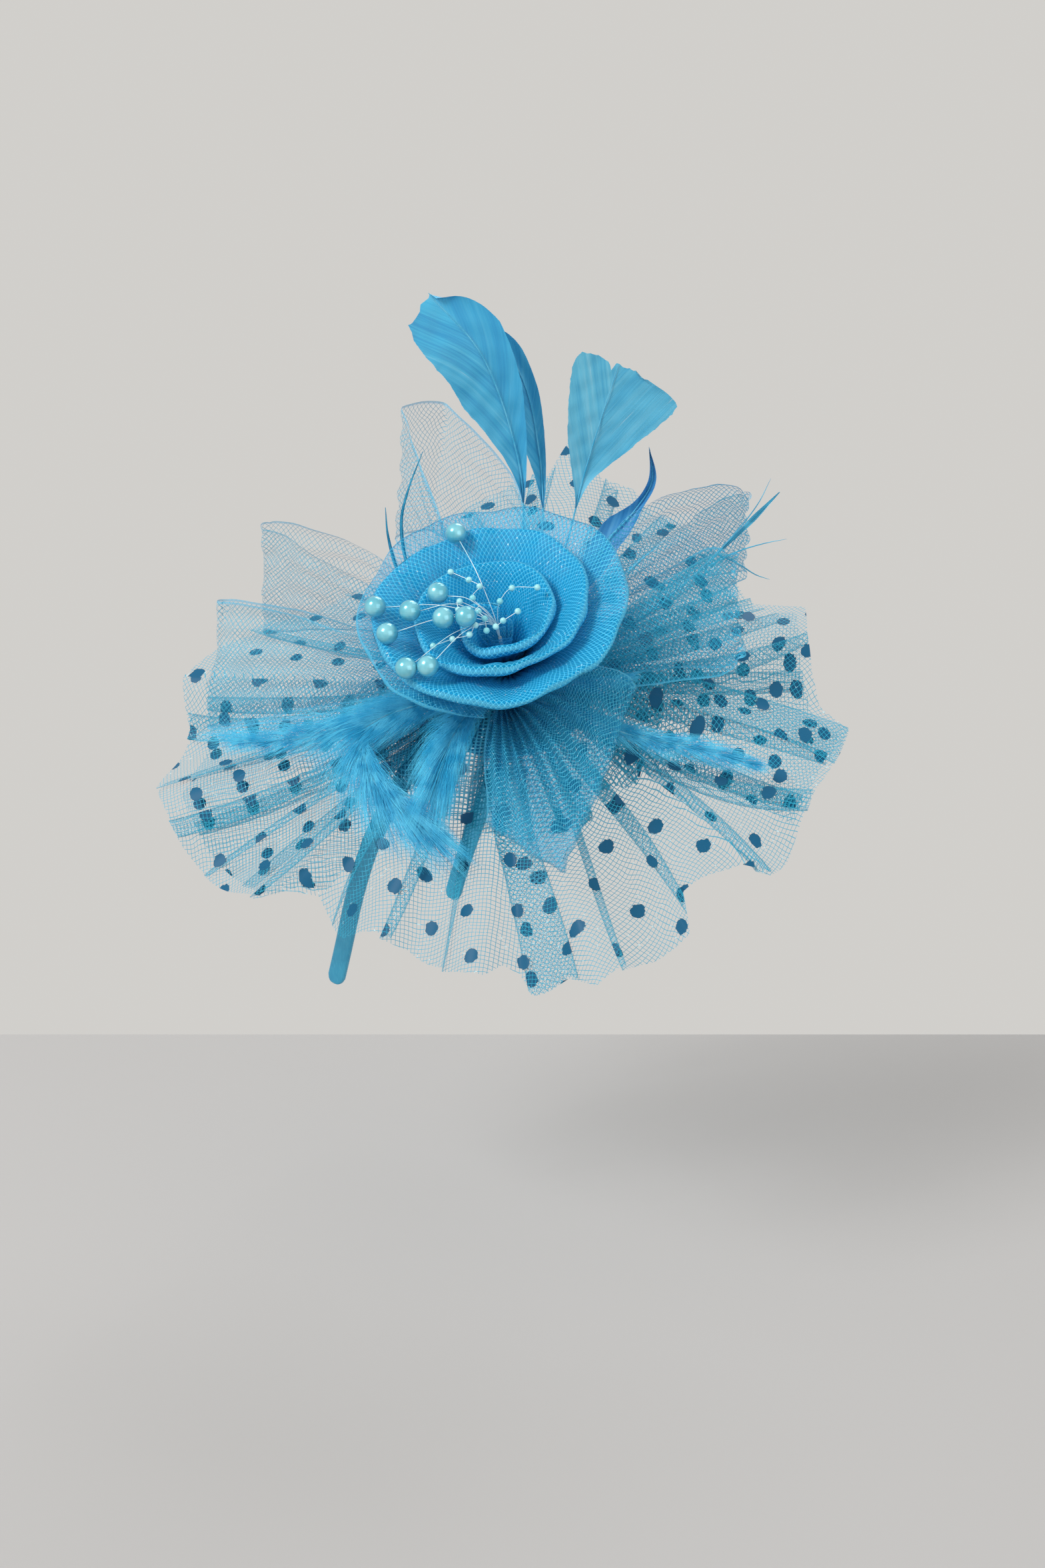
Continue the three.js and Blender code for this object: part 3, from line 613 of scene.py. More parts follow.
def frill(name, seed, folds, start, stop, lower, reach_scale, rows=36, per_degree=2.2):
    s = np.linspace(0, 1, rows) ** 0.9
    lines = zigzag(folds, start, stop, s)
    ring = stop - start > 359
    angle, layer, crease_at = [], [], []
    for k, (a, b) in enumerate(zip(lines, lines[1:])):
        count = max(8, int(per_degree * max(abs(b[-1] - a[-1]), abs(b[rows // 2] - a[rows // 2]))))
        share = np.linspace(0, 1, count, endpoint=False)[:, None]
        angle.append(a + (b - a) * share)
        first = 0 if k == 0 else (1 if k % 2 else -1)
        last = 0 if k == len(lines) - 2 else (1 if k % 2 == 0 else -1)
        layer.append(first + (last - first) * share + 0 * s)
        crease_at.append(sum(len(part) for part in angle))
    angle, layer, s = np.vstack(angle), np.vstack(layer), s[None, :]
    around = "wrap" if ring else "edge"
    full = np.pad(angle, ((3, 3), (0, 0)), mode="edge")
    if ring:
        full[:3], full[-3:] = angle[-3:] - 360, angle[:3] + 360
    round_off = np.array([1, 2, 3, 4, 3, 2, 1]) / 16
    angle = np.stack([np.convolve(full[:, j], round_off, "valid") for j in range(rows)], 1)
    full = np.pad(layer, ((3, 3), (0, 0)), mode=around)
    layer = np.stack([np.convolve(full[:, j], round_off, "valid") for j in range(rows)], 1)
    angle = np.radians(angle)
    flat_turn = np.concatenate([[0], np.cumsum(np.abs(np.diff(angle[:, -1])))])[:, None]
    own = ripple(flat_turn, waves(seed + 7, 5, 9, 31))
    angle = angle + 0.02 * s * own + 0.03 * s * (1 - s) * ripple(flat_turn, waves(seed + 8, 3, 4, 9))
    degrees = np.degrees(angle)
    reach = cut_edge(degrees) * reach_scale + 1.2 * own - 1.0
    r = HUB + (reach - HUB) * s
    out = np.maximum(0, (r - FLAT_RADIUS) / (reach - FLAT_RADIUS))
    rise = 0.8 * fold_value(FOLD_OUT, degrees) * out**2.4
    rise = rise + 1.2 * out**2 * ripple(flat_turn, waves(seed + 3, 5, 17, 41))
    height = (HUB_HEIGHT + fold_value(DROOP, degrees) * out**1.1 + reach_scale * rise
              + (0.7 + 1.3 * out) * layer
              - lower * np.minimum(1, out * 2))
    turned = np.array([flat_turn[min(at, len(flat_turn) - 1), 0] for at in crease_at[:-1]])
    apart = np.abs(flat_turn - turned[None, :]).min(axis=1)[:, None] * np.maximum(r, 40)
    points = to_part(np.stack([r * np.cos(angle), r * np.sin(angle), height], -1))
    even_turn = flat_turn + 0 * s
    flat = np.stack([r * np.cos(even_turn), r * np.sin(even_turn)], -1) * MM
    crowd = 1 + 3.2 * np.clip(1 - r / 105, 0, 1) ** 1.2
    piece = sheet_mesh(name, points, flat, closed=ring, material=net, rim=apart * MM, crowd=crowd)
    finish_piece(piece)
    return piece


frill_top = frill("frill_top", 11, FOLDS, -180, 180, 0.0, 1.0)
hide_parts("veil_frill")
frill("frill_left", 29, chance_folds(29, 178, 234), 178, 234, 5.0, 0.94, rows=24)
frill("frill_collar", 53, chance_folds(53, -180, 176), -180, 180, -1.5, 0.46, rows=18)
frill("frill_back", 31, chance_folds(31, -20, 50), -20, 50, 4.0, 0.97, rows=24)

# %% [markdown]
# ## The rolled rose
# The rose is one long ribbon, folded along its length and wound from the heart outwards, so each
# turn ends in a soft rounded rim. The wall of the CAD part gives the middle of the doubled ribbon.
# The mesh goes up its inner face, round the fold at the rim and down its outer face, and it is
# gathered in pleats at its foot.

# %% Rose
ROSE_RIM = np.array([(8, 44), (14, 45), (20, 46), (23.5, 48), (29, 50), (33, 51), (35, 52), (38, 52),
                     (47, 52), (52.5, 51), (50, 51), (56, 52), (60, 52), (58.5, 51), (56, 50)], dtype=float)


def rim_value(quarter, column):
    i = np.minimum(quarter.astype(int), len(ROSE_RIM) - 2)
    s = quarter - i
    value = ROSE_RIM[:, column]
    a, b = value[i], value[i + 1]
    before, beyond = value[np.maximum(i - 1, 0)], value[np.minimum(i + 2, len(value) - 1)]
    return (a * (2 * s**3 - 3 * s**2 + 1) + (b - before) / 2 * (s**3 - 2 * s**2 + s)
            + b * (3 * s**2 - 2 * s**3) + (beyond - a) / 2 * (s**3 - s**2))


def smooth_noise(x, y, seed, wavelength):
    """A gentle seeded surface of eight crossing waves, about -1 to 1."""
    dice = random.Random(seed)
    total = 0
    for _ in range(8):
        way, size = dice.uniform(0, math.pi), 2 * math.pi / (wavelength * dice.uniform(0.7, 1.5))
        total = total + np.sin(size * (x * math.cos(way) + y * math.sin(way)) + dice.uniform(0, 6.28))
    return total / 4


def rose_mesh(name="rose_ribbon"):
    quarter = np.linspace(0, 14, 14 * 42 + 1)[:, None]
    inner = np.linspace(0, 1, 13)
    bend = np.linspace(90, -90, 9)[1:-1]
    outer = np.linspace(1, 0.18, 11)
    up = np.concatenate([inner, np.ones(len(bend)), outer])[None, :]
    lean = np.radians(np.concatenate([np.full(len(inner), 90.0), bend, np.full(len(outer), -90.0)]))[None, :]
    angle = np.radians(-270 + 90 * quarter)
    rim_radius, rim_height = rim_value(quarter, 0), rim_value(quarter, 1)
    middle_radius = (rim_radius[1:] + rim_radius[:-1]) / 2
    arc = np.cumsum(np.concatenate([[[0]], np.diff(angle, axis=0) * middle_radius]), axis=0)
    foot = 3.4 + 2.9 * quarter / 4
    rim_radius = rim_radius + 1.4 * smooth_noise(arc, 0, 5, 34)
    rim_height = rim_height + 1.3 * smooth_noise(arc, 0, 6, 28)
    tuck = np.clip((quarter - 13.5) / 0.5, 0, 1) ** 2
    rim_radius, rim_height = rim_radius - 16 * tuck, rim_height - 22 * tuck
    radius = foot + (rim_radius - foot) * up**1.75
    height = 12 + (rim_height - 12) * up
    tangent_r, tangent_h = 1.75 * (rim_radius - foot) * np.maximum(up, 0.02)**0.75, rim_height - 12
    size = np.hypot(tangent_r, tangent_h)
    tangent_r, tangent_h = tangent_r / size, tangent_h / size
    roll = 2.0 + 0.6 * smooth_noise(arc, 0, 7, 40)
    apart = 0.5 + (roll - 0.5) * up**3
    pleat = 1.6 * (1 - up)**1.5 * np.sin(2 * np.pi * arc / 6.0)
    pleat = pleat + 0.7 * up * smooth_noise(arc, 60 * up * np.sign(lean), 8, 17)
    off = apart * np.sin(lean) + pleat
    on = apart * np.cos(lean)
    radius = radius - tangent_h * off + tangent_r * on
    height = height + tangent_r * off + tangent_h * on
    points = to_part(np.stack([radius * np.cos(angle), radius * np.sin(angle), height], -1))
    tall = np.cumsum(np.concatenate([[0], np.linalg.norm(np.diff(points, axis=1), axis=2).mean(axis=0)]))
    flat = np.stack([arc * MM + 0 * up, tall[None, :] + 0 * arc], -1)
    fold = np.abs(tall - tall[len(inner) + len(bend) // 2])[None, :]
    outermost = np.clip((quarter - 10.5) / 2, 0, 1)
    crowd = 0.8 + 1.3 * (1 - outermost) + 2.2 * (1 - up) ** 1.5
    piece = sheet_mesh(name, points, flat, material=crin_rose, rim=fold, crowd=crowd)
    finish_piece(piece)
    return piece, float(arc[-1, 0]) * MM, float(tall[-1])


rose, rose_length, rose_width = rose_mesh()
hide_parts("rose")
print("rose ribbon", round(rose_length, 3), "by", round(rose_width, 3), "m, area", round(mesh_area(rose), 4))


def rose_heart():
    """The folded start of the ribbon, a loose curl that fills the cup."""
    turn = np.linspace(0, 2 * np.pi * 1.8, 120)[:, None]
    up = np.linspace(0, 1, 14)[None, :]
    tight = turn / turn[-1]
    radius = 1.8 + 4.2 * tight + (1.6 + 2.2 * tight) * up**1.5 + 0.35 * np.sin(5 * turn) * up
    height = 20 + (17 + 3.5 * tight) * up + 0.8 * np.sin(3 * turn + 1) * up
    points = to_part(np.stack([radius * np.cos(turn + 0.6), radius * np.sin(turn + 0.6), height], -1))
    length = float(np.linalg.norm(np.diff(points[:, -1], axis=0), axis=1).sum())
    width = float(np.linalg.norm(np.diff(points, axis=1), axis=2).sum(axis=1).mean())
    flat = np.stack([length * tight + 0 * up, width * up + 0 * turn], -1)
    piece = sheet_mesh("rose_heart", points, flat, material=crin_rose, rim=width * (1 - up),
                       crowd=1 + 0.8 * (1 - up))
    finish_piece(piece)
    return piece


heart = rose_heart()
print(heart.name, len(heart.data.polygons), "faces")

# %% [markdown]
# ## The ribbon loops
# Each loop is a length of ribbon whose two ends are gathered at the heart. It stands on edge, fans
# open to its full width at the far turn, and bulges on one side. The surface is the CAD loop with
# many more points, with the slow waves that springy mesh takes. Where it stands narrower than it was
# cut, the missing width goes into gathers, which both layers take the same way, so that they nest.

# %% Loops
LOOPS = [
    ("loop_left_high", [(-14, 6, 5.3), (-14, 6, 11.4)], [(-117, 17, 8), (-107, 28, 70)],
     4, 13, 2.2, 1.7, 0),
    ("loop_left_low", [(-15, -1, 5.8), (-15, -1, 11.8)], [(-133, -33, -3), (-126, 5, 45)],
     10, 3, 2.2, 1.7, 0),
    ("loop_top", [(-6, 14, 6.5), (-6, 14, 12.5)], [(-57, 75, 15), (-50, 106, 72)], 4, 30, 11.5, 1.4, 0),
    ("loop_right_high", [(13, 8, 5.3), (13, 8, 11.4)], [(98, 68, 8), (102, 66, 71)], 15, 3, 2.2, 1.9, 0),
    ("loop_right_low", [(15.5, 0, 5.3), (15.5, 0, 11.4)], [(104, 14, 4), (98, 40, 58)], 3, 7, 2.2, 1.7, 0),
    ("loop_front", [(-1, -16, 5.7), (9, -14, 5.9)],
     [(8, -88, 8), (42, -104, 7), (52, -60, 17), (60, -13, 27)], 2, 6, 2.2, 1, 9),
]
PINCH, TIP = 1.3, 2.2
# One gather for each 13 mm of ribbon, and the share of the missing width that the gathers take up.
PLEAT_WIDTH, GATHER = 13.0, 0.8


def along_line(points, at):
    points = np.asarray(points, dtype=float)
    place = np.clip(at * (len(points) - 1), 0, len(points) - 1 - 1e-9)
    i = place.astype(int)
    return points[i] + (points[i + 1] - points[i]) * (place - i)[..., None]


ROUNDED = {"loop_right_high": (11, 0), "loop_right_low": (9, 12), "loop_front": (5, 9)}


def ribbon_loop(name, root, edge, left, right, turn, rise, arch, seed, finish):
    round_top, round_foot = ROUNDED.get(name.removesuffix("_ribbon"), (1.5, 1.5))
    a = (1 - np.cos(np.pi * np.linspace(0, 1, 46))) / 2
    lean = np.radians(np.linspace(90, -90, 11)[1:-1])
    half = lambda bulge: PINCH + (turn - PINCH) * a + bulge * np.sin(np.pi * a)**1.2
    close = np.radians(np.linspace(-90, -270, 7)[1:-1])
    along = np.concatenate([a, np.ones(len(lean)), a[::-1], np.zeros(len(close))])[:, None]
    side = np.concatenate([half(left), turn * np.sin(lean), -half(right)[::-1],
                           PINCH * np.sin(close)])[:, None]
    past = np.concatenate([0 * a, TIP * np.cos(lean), 0 * a, PINCH * np.cos(close)])[:, None]
    root, edge = np.asarray(root, dtype=float), np.asarray(edge, dtype=float)
    across = normalised(edge[-1] - edge[0])
    out = normalised(along_line(edge, np.array(0.5)) - along_line(root, np.array(0.5)))
    sideways = normalised(np.cross(across, out))
    width = np.linalg.norm(np.diff(edge, axis=0), axis=1).sum()
    pleats = round(width / PLEAT_WIDTH)
    rows = 8 * pleats + 1
    up = np.linspace(0, 1, rows)[None, :]
    low, high = along_line(root, up + 0 * along), along_line(edge, up + 0 * along)
    points = low + (high - low) * along[..., None]
    points[..., 2] += up * (1 - (1 - along)**rise - along) * (edge[-1, 2] - root[1, 2])
    points[..., 2] += arch * np.sin(np.pi * along)
    corner = np.clip((along - 0.86) / 0.14, 0, 1)
    points[..., 2] -= (1 - np.sqrt(1 - 0.98 * corner**2)) * (up**2 * round_top - (1 - up)**2 * round_foot)
    points += sideways * side[..., None] + out * past[..., None]
    gone = np.linalg.norm(np.diff(points[:, rows // 2], axis=0), axis=1)
    line = np.concatenate([[0], np.cumsum(gone)])[:, None]
    tall = up * width
    stands = np.linalg.norm(np.diff(points, axis=1), axis=2).sum(axis=1)[:, None]
    deep = GATHER * np.sqrt(np.maximum(width**2 - stands**2, 0)) / (4 * pleats)
    normal = normalised(np.cross(np.gradient(points, axis=0), np.gradient(points, axis=1)))
    pleat = deep * np.sin(2 * np.pi * up * pleats + seed)
    wave = 1.5 * smooth_noise(line, tall, seed, 38) + 0.5 * smooth_noise(line, tall, seed + 50, 12)
    wave = wave * np.minimum(1, along * 3)
    points += normal * wave[..., None] + sideways * pleat[..., None]
    placed = to_part(points)
    flat = np.stack([line + 0 * up, tall + 0 * line], -1) * MM
    rim = np.minimum(tall, width - tall) * MM
    piece = sheet_mesh(name, placed, flat, closed=True, material=finish, rim=rim,
                       crowd=crowding(placed, flat, 1) ** 0.8)
    finish_piece(piece)
    return piece, float(line[-1, 0] + gone.mean()) * MM, float(width) * MM


WEAVES = {"loop_front": crin_double, "loop_right_high": crin_firm, "loop_right_low": crin_firm}
for seed, (name, *shape) in enumerate(LOOPS):
    piece, length, width = ribbon_loop(name + "_ribbon", *shape, 70 + seed, WEAVES.get(name, crin_loop))
    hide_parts(name)
    share = mesh_area(piece) / (length * width)
    print(piece.name, "ribbon", round(length, 3), "by", round(width, 3), "m, mesh share", round(share, 2))

# %% [markdown]
# ## Pieces made of many small parts
# A feather is a vane and a quill, and a plume is hundreds of barbs, so these pieces gather several
# small meshes. Each part is a grid of points again, with its own finish.


# %% Gathering parts into one piece
def tube_grid(points, radii, sides=7):
    """Rings of points round a line, as a grid whose last column meets the first."""
    points = np.asarray(points, dtype=float)
    tangent = normalised(np.gradient(points, axis=0))
    guide = np.array([0.3, 0.2, 0.93])
    side = normalised(np.cross(tangent, guide))
    over = np.cross(side, tangent)
    spin = np.linspace(0, 2 * np.pi, sides + 1)[:, None, None]
    ring = np.cos(spin) * side[None] + np.sin(spin) * over[None]
    return points[None] + ring * np.asarray(radii)[None, :, None]


def gather_parts(name, parts):
    """parts are (grid in metres, flat grid or None, material); the grids become one mesh."""
    points, faces, corner_uv, finish_of, finishes = [], [], [], [], []
    for grid, flat, material in parts:
        columns, rows = grid.shape[:2]
        if flat is None:
            flat = np.zeros((columns, rows, 2))
        i, j = np.meshgrid(np.arange(columns - 1), np.arange(rows - 1), indexing="ij")
        quads = np.stack([i * rows + j, (i + 1) * rows + j, (i + 1) * rows + j + 1, i * rows + j + 1], -1)
        faces.append(quads.reshape(-1, 4) + sum(len(p) for p in points))
        corner_uv.append(flat.reshape(-1, 2)[quads.reshape(-1)])
        points.append(grid.reshape(-1, 3))
        if material not in finishes:
            finishes.append(material)
        finish_of.append(np.full(len(faces[-1]), finishes.index(material)))
    mesh = bpy.data.meshes.new(name)
    mesh.from_pydata(np.vstack(points).tolist(), [], np.vstack(faces).tolist())
    uv = mesh.uv_layers.new(name="flat_cloth")
    uv.data.foreach_set("uv", np.vstack(corner_uv).reshape(-1).astype(np.float32))
    for material in finishes:
        mesh.materials.append(material)
    mesh.polygons.foreach_set("material_index", np.concatenate(finish_of))
    piece = bpy.data.objects.new(name, mesh)
    bpy.context.collection.objects.link(piece)
    finish_piece(piece)
    return piece


def quill_line(path, count):
    """The CAD part's smooth quill: a centripetal Catmull-Rom line, cut at even lengths."""
    p = np.asarray(path, dtype=float)
    p = np.vstack([2 * p[0] - p[1], p, 2 * p[-1] - p[-2]])
    fine = []
    for q in range(len(p) - 3):
        a, b, c, d = p[q:q + 4]
        k0, k1, k2 = [max(np.linalg.norm(w - v), 1e-4) ** 0.5 for v, w in ((a, b), (b, c), (c, d))]
        m1 = ((b - a) / k0 - (c - a) / (k0 + k1) + (c - b) / k1) * k1
        m2 = ((c - b) / k1 - (d - b) / (k1 + k2) + (d - c) / k2) * k1
        s = np.linspace(0, 1, 40, endpoint=False)[:, None]
        fine.append(b * (2 * s**3 - 3 * s**2 + 1) + m1 * (s**3 - 2 * s**2 + s)
                    + c * (3 * s**2 - 2 * s**3) + m2 * (s**3 - s**2))
    fine = np.vstack(fine + [p[-2:-1]])
    gone = np.concatenate([[0], np.cumsum(np.linalg.norm(np.diff(fine, axis=0), axis=1))])
    at = np.linspace(0, gone[-1], count)
    return np.stack([np.interp(at, gone, fine[:, k]) for k in range(3)], 1), float(gone[-1])


def quill_frame(line, face):
    tangent = normalised(np.gradient(line, axis=0))
    right = normalised(np.cross(tangent, face))
    return tangent, right, normalised(np.cross(right, tangent))


FACE = normalised(np.array([0.2, -0.58, 0.79]))
print("part gathering ready")

# %% [markdown]
# ## Feathers
# Two tall trimmed feathers, a wedge and a blue one stand behind the rose, with three thin biots. The
# quill follows the CAD path, and the vane spreads by the same width table, with a slight hollow
# across it, a ragged edge and barbs that slant to the tip.

# %% Feathers
FEATHERS = [
    ("feather_tall_left", feather_cyan, 2.6,
     [(1, 15, 5.3), (0, 42, 15), (-1, 64, 30), (-2, 80, 55), (-11, 95, 94),
      (-20, 102, 113), (-39, 111, 132)],
     [(0.40, 0.3, 0.3), (0.43, 0.9, 0.8), (0.55, 7, 5), (0.7, 17.5, 11), (0.86, 20.5, 15),
      (0.94, 20.5, 11), (1, 16, 1)]),
    ("feather_tall_right", feather_cyan, 1.8,
     [(4.5, 15, 5.3), (5, 44, 14), (6, 70, 25), (5, 88, 40), (4, 95, 61),
      (1, 102, 83), (-6, 108, 101), (-15, 114, 111)],
     [(0.44, 0.3, 0.3), (0.46, 0.8, 0.8), (0.62, 6, 3), (0.8, 12, 5), (0.93, 11, 6), (1, 5, 3)]),
    ("feather_wedge", feather_pale, 1.6,
     [(8, 13, 5.3), (12, 40, 13), (19, 68, 27), (25, 85, 47), (34, 94, 74),
      (44, 103, 102)],
     [(0.5, 0.3, 0.3), (0.53, 0.8, 0.8), (0.6, 5, 3.5), (0.72, 12, 14), (0.86, 17, 26), (0.93, 19, 31),
      (0.97, 19, 28), (1, 17, 14)]),
    ("feather_blue", feather_deep, 2.2,
     [(10.5, 11, 5.3), (24, 40, 13), (37, 70, 24), (48, 83, 31), (56, 90, 43),
      (55, 97, 58)],
     [(0.28, 0.3, 0.3), (0.3, 0.8, 0.8), (0.45, 6, 6), (0.62, 7, 6), (0.76, 2.2, 2.2), (0.88, 1.8, 1.8),
      (1, 0.2, 0.2)]),
    ("biot_left_long", biot_horn, 0.2,
     [(-11, 10.5, 5.3), (-34, 26, 12), (-50, 40, 29), (-53, 51, 50), (-49, 58, 64),
      (-41, 66, 81)], [(0.35, 0.1, 0.1), (0.4, 0.4, 0.4), (0.6, 0.9, 0.9), (1, 0.15, 0.15)]),
    ("biot_left_short", biot_horn, 0.2,
     [(-13, 9, 5.3), (-37, 22, 12), (-54, 37, 30), (-58, 44, 48), (-58, 49, 62)],
     [(0.45, 0.1, 0.1), (0.5, 0.4, 0.4), (0.7, 0.9, 0.9), (1, 0.15, 0.15)]),
    ("biot_right_long", biot_horn, 0.2,
     [(15, 4.2, 5.3), (52, 20, 20), (84, 37, 42), (100, 53, 50), (117, 70, 60)],
     [(0.7, 0.1, 0.1), (0.75, 0.5, 0.5), (0.88, 1.3, 1.3), (1, 0.2, 0.2)]),
]


# Barbs that have split off the long biot, each with its first point on it.
SPLINTERS = {"biot_right_long": [
    [(84, 37, 42), (97, 50, 50), (108, 63, 59), (113, 72, 66)],
    [(84, 37, 42), (100, 46, 46), (112, 52, 46), (121, 56, 45)],
    [(92, 44, 46), (100, 45, 40), (108, 45, 33), (114, 47, 28)]]}
TRIMMED = {"feather_wedge": (3.0, -1.0, -0.15), "feather_tall_left": (-2.5, 0.0, 9)}


def feather(name, vane, hollow, path, widths, seed, count=150):
    line, length = quill_line(path, count)
    at = np.linspace(0, 1, count)
    tangent, right, up = quill_frame(line, FACE)
    table = np.array(widths, dtype=float)
    keep = at >= table[0, 0]
    along = at[keep, None]
    soft = np.ones(9) / 9
    halves = []
    for column in (1, 2):
        plain = np.interp(at[keep], table[:, 0], table[:, column])
        padded = np.pad(plain, 4, mode="reflect", reflect_type="odd")
        halves.append(np.convolve(padded, soft, "valid")[:, None])
    share = np.linspace(-1, 1, 29)[None, :]
    across = np.where(share < 0, halves[0], halves[1]) * share
    dice = np.random.default_rng(seed)
    rag = np.convolve(dice.uniform(-1, 1, keep.sum() + 8), np.ones(3) / 3, "same")[4:-4, None]
    tip_rag = np.convolve(dice.uniform(-1, 1, share.shape[1] + 8), np.ones(4) / 4, "same")[4:-4][None, :]
    near_tip = np.clip((along - 0.9) / 0.1, 0, 1) ** 2
    large = min(1.0, float(table[:, 1].max()) / 8)
    across = across * (1 + 0.03 * rag * (np.abs(share) > 0.85))
    cut_left, cut_right, notch = TRIMMED.get(name, (0, 0, 9))
    nick = 4.5 * np.exp(-((share - notch) / 0.06) ** 2)
    forward = near_tip * large * (2.2 * tip_rag - 1.5 * share**2 - nick)
    trim = cut_left * np.maximum(-share, 0) + cut_right * np.maximum(share, 0)
    forward = forward + near_tip ** 0.5 * trim
    camber = hollow * (share**2 - 0.15) + 0.3 * large * smooth_noise(across * 2, along * length, seed, 14)
    grid = line[keep][:, None, :] + right[keep][:, None, :] * across[..., None]
    grid = grid + tangent[keep][:, None, :] * forward[..., None] + up[keep][:, None, :] * camber[..., None]
    flat = np.stack([along * length + forward, across], -1) * MM
    thick = 0.5 * (1 - at) ** 0.7 + 0.1
    quill = tube_grid(line + up * 0.2, thick)
    horn = vane if vane is biot_horn else quill_horn
    parts = [(to_part(grid), flat, vane), (to_part(quill), None, horn)]
    for splinter in SPLINTERS.get(name, []):
        thin, _ = quill_line(splinter, 24)
        parts.append((to_part(tube_grid(thin, 0.45 * (1 - np.linspace(0, 1, 24)) ** 0.7 + 0.05)), None, horn))
    piece = gather_parts(name + "_vane", parts)
    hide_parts(name)
    return piece


for seed, row in enumerate(FEATHERS):
    made = feather(*row, 300 + seed)
    print(made.name, len(made.data.polygons), "faces")

# %% [markdown]
# ## Plumes
# The soft plumes are hackle-like: long fine barbs leave the quill at a slant, bend to the tip and
# fall a little, and lean together in small wisps. Each barb is one narrow strip with a few faces.

# %% Plumes
PLUMES = [
    ("plume_left", [(-14, -7, 4.6), (-36, -23, 10), (-66, -36, 8), (-95, -42, 4), (-121, -42, 0)],
     [(0.08, 5, 8), (0.15, 11, 22), (0.4, 12, 30), (0.75, 8, 20), (1, 3, 5)], 1500),
    ("plume_curled",
     [(-10, -12, 4.6), (-36, -28, 17), (-56, -42, 15), (-50, -62, 9), (-34, -76, 4), (-16, -86, -3)],
     [(0.1, 5, 5), (0.2, 14, 12), (0.45, 18, 17), (0.75, 15, 14), (1, 4, 4)], 4600),
    ("plume_front", [(-5, -15.5, 4.6), (-10, -28, 17), (-15, -44, 18), (-18, -58, 14), (-21, -70, 8)],
     [(0.1, 5, 5), (0.18, 12, 12), (0.4, 15, 15), (0.75, 12, 12), (1, 3, 3)], 3000),
    ("plume_right", [(13.5, -10, 4.6), (36, -22, 10), (62, -31, 9), (88, -32, 4), (116, -34, -3)],
     [(0.12, 3, 3), (0.2, 7, 6), (0.45, 9, 8), (0.75, 8, 7), (1, 2, 2)], 1700),
    ("plume_right_short", [(15, -5, 4.6), (30, -9, 14), (45, -9, 17), (59, -5, 18)],
     [(0.12, 2, 2), (0.2, 4, 4), (0.5, 5, 6), (1, 1.5, 1.5)], 900),
]


LONGEST_BARB = 34.0


def plume(name, path, widths, barbs, seed):
    dice = np.random.default_rng(seed)
    line, length = quill_line(path, 220)
    tangent, right, up = quill_frame(line, FACE)
    table = np.array(widths, dtype=float)
    start = table[0, 0]
    at = np.sort(start + (1 - start) * dice.uniform(0, 1, barbs) ** 0.92)
    side = np.where(dice.uniform(0, 1, barbs) < 0.5, -1.0, 1.0)
    on_left, on_right = (np.interp(at, table[:, 0], table[:, column]) for column in (1, 2))
    reach = np.where(side < 0, on_left, on_right)
    wisp = np.sin(at * length / 1.7 + 3 * np.sin(at * length / 7.0) + side)
    slant = np.radians(42 - 16 * at + 5 * wisp + dice.normal(0, 13, barbs))
    long = np.minimum(reach / np.maximum(np.sin(slant), 0.35) * dice.uniform(0.3, 1.5, barbs), LONGEST_BARB)
    row = np.clip((at * 219).astype(int), 0, 219)
    s = np.linspace(0, 1, 6)[None, :, None]
    t, r, u = (v[row][:, None, :] for v in (tangent, right, up))
    bend = (slant[:, None, None] * (1 - 0.45 * s))
    lift = np.clip(dice.normal(0.08, 0.25, barbs), -0.4, 0.4)[:, None, None]
    run = long[:, None, None] * s
    drop = 0.009 * run**2 * dice.uniform(0.2, 1.3, barbs)[:, None, None]
    centre = np.cos(bend) * t + np.sin(bend) * side[:, None, None] * r + lift * u
    centre = line[row][:, None, :] + run * centre
    centre = centre - drop * np.array([0, 0, 1.0])
    width = 0.14 * (1 - 0.75 * s) * dice.uniform(0.7, 1.3, barbs)[:, None, None]
    flatness = normalised(np.cross(np.gradient(centre, axis=1), u + 0 * centre)) * width / 2
    strips = np.stack([centre - flatness, centre + flatness], 2)
    faces_from = np.arange(barbs)[:, None] * 12 + np.arange(5)[None, :] * 2
    quads = np.stack([faces_from, faces_from + 2, faces_from + 3, faces_from + 1], -1).reshape(-1, 4)
    barb_mesh = bpy.data.meshes.new(name)
    barb_mesh.from_pydata(to_part(strips).reshape(-1, 3).tolist(), [], quads.tolist())
    barb_mesh.materials.append(plume_barb)
    barb_mesh.uv_layers.new(name="flat_cloth")
    fluff = bpy.data.objects.new(name + "_barbs", barb_mesh)
    bpy.context.collection.objects.link(fluff)
    finish_piece(fluff)
    thick = 0.42 * (1 - np.linspace(0, 1, 220)) ** 0.8 + 0.1
    quill = tube_grid(line, thick, 6)
    stem = gather_parts(name + "_quill", [(to_part(quill), None, plume_quill)])
    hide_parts(name)
    return fluff, stem


for seed, row in enumerate(PLUMES):
    fluff, stem = plume(*row, 500 + seed)
    print(fluff.name, len(fluff.data.polygons), "faces,", stem.name, len(stem.data.polygons))

# %% [markdown]
# ## Pearls
# A bead for threading has a drilled hole with a small rim. One is modelled from a ball whose pole is
# pushed in, and nine copies are turned so that the hole meets each wire.

# %% Pearls
PEARLS = [(-24.1, 39.2, 57.5), (-25.3, 3.4, 57.5), (-51.5, -6.4, 57.5), (-34.4, -10.8, 61),
          (-18.8, -14.4, 61.5), (-9.0, -13.0, 61.5),
          (-42.9, -21.3, 57.5), (-30.6, -40.0, 57.5), (-21.4, -38.3, 57.5)]
PEARL_RADIUS = 4.75


